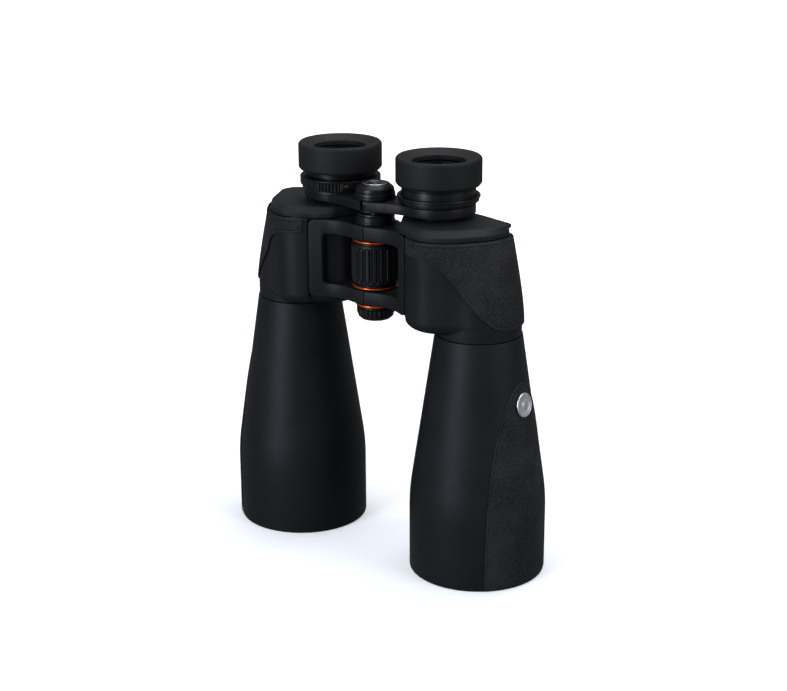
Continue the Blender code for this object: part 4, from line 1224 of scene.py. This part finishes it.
BADGE_R = 7.4
SILVER = turned_metal("badge_silver", (0.90, 0.91, 0.93), 0.8, 0.34, (0.0, 0.0), 0.0003)
badge_low, badge_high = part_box("right_badge")
badge = turned("right_badge_disc",
               eased([(0.0, 0.25), (2.0, 0.25), (2.3, 0.05), (4.6, 0.05), (5.0, 0.25, 0.1),
                      (6.4, 0.25, 0.1), (6.7, 0.4, 0.1), (7.1, 0.4, 0.2), (BADGE_R, 0.0), (BADGE_R, -0.4),
                      (0.0, -0.4)]),
               (0.0, 0.0), SILVER, 96)
badge.location = (badge_low + badge_high) / 2.0
badge.rotation_euler = (0.0, math.radians(90.0) - math.atan(CONE_SLOPE), 0.0)
stand_for(badge, "right_badge")


# ---------------------------------------------------------------- floor, light and camera
# A wide pale floor that glows more with distance, so that it ends in white, one tall soft light in
# front, a broad one overhead and one on the right side. The camera looks down from the front right.

floor_material, floor_place = new_material("pale_floor")
floor_tone = floor_place.noise(3.0, 2.0)
floor_reach = floor_place.node("ShaderNodeVectorMath", {"operation": "LENGTH"}, {0: floor_place}, "Value")
dress(floor_material, {
    "Base Color": floor_tone.mix((0.86, 0.87, 0.90, 1.0), (0.88, 0.89, 0.92, 1.0)),
    "Roughness": 0.8,
    "Emission Color": floor_reach.smooth_step(0.25, 1.2).mix((0.345, 0.35, 0.365, 1.0),
                                                             (1.06, 1.06, 1.06, 1.0)),
    "Emission Strength": 1.0,
    "Specular IOR Level": 0.1})
FLOOR_HALF = 12000.0
FLOOR_Z = -0.05
floor_corners = [(x * FLOOR_HALF, y * FLOOR_HALF, FLOOR_Z) for x, y in ((-1, -1), (1, -1), (1, 1), (-1, 1))]
floor = make_piece("floor", floor_corners, [(0, 1, 2, 3)], floor_material)
floor.visible_glossy = False
floor.visible_diffuse = False

world = bpy.data.worlds.new("studio")
bpy.context.scene.world = world
world.use_nodes = True
background = world.node_tree.nodes["Background"]
background.inputs["Color"].default_value = (0.93, 0.96, 1.0, 1.0)
background.inputs["Strength"].default_value = 0.16

AIM = Vector((0.0, 0.0, 0.12))


def soft_light(name, azimuth, elevation, distance, size, power, colour):
    """Area light at a bearing round the object, turned to face it."""
    data = bpy.data.lights.new(name, "AREA")
    data.shape = "RECTANGLE"
    data.size, data.size_y = size
    data.energy = power
    data.color = colour
    lamp = bpy.data.objects.new(name, data)
    bearing = math.radians(azimuth)
    rise = math.radians(elevation)
    lamp.location = AIM + distance * Vector((math.sin(bearing) * math.cos(rise),
                                             -math.cos(bearing) * math.cos(rise), math.sin(rise)))
    lamp.rotation_euler = (AIM - lamp.location).to_track_quat("-Z", "Y").to_euler()
    bpy.context.scene.collection.objects.link(lamp)


soft_light("front_softbox", -9.0, 15.0, 1.9, (0.72, 1.9), 33.0, (0.82, 0.90, 1.0))
soft_light("top_softbox", 200.0, 78.0, 1.8, (1.6, 1.6), 24.0, (0.97, 0.98, 1.0))
soft_light("right_softbox", 95.0, 25.0, 2.2, (1.0, 1.6), 20.0, (0.92, 0.95, 1.0))

camera_data = bpy.data.cameras.new("camera")
camera_data.lens = 76.56
camera_data.sensor_width = 36.0
camera = bpy.data.objects.new("camera", camera_data)
camera.location = (0.6150, -0.7906, 0.4605)
camera.rotation_mode = "QUATERNION"
camera.rotation_quaternion = (Matrix.Rotation(math.radians(37.61), 3, "Z")
                              @ Matrix.Rotation(math.radians(71.73), 3, "X")
                              @ Matrix.Rotation(math.radians(-0.26), 3, "Z")).to_quaternion()
bpy.context.scene.collection.objects.link(camera)
bpy.context.scene.camera = camera
bpy.context.scene.view_settings.view_transform = "Standard"
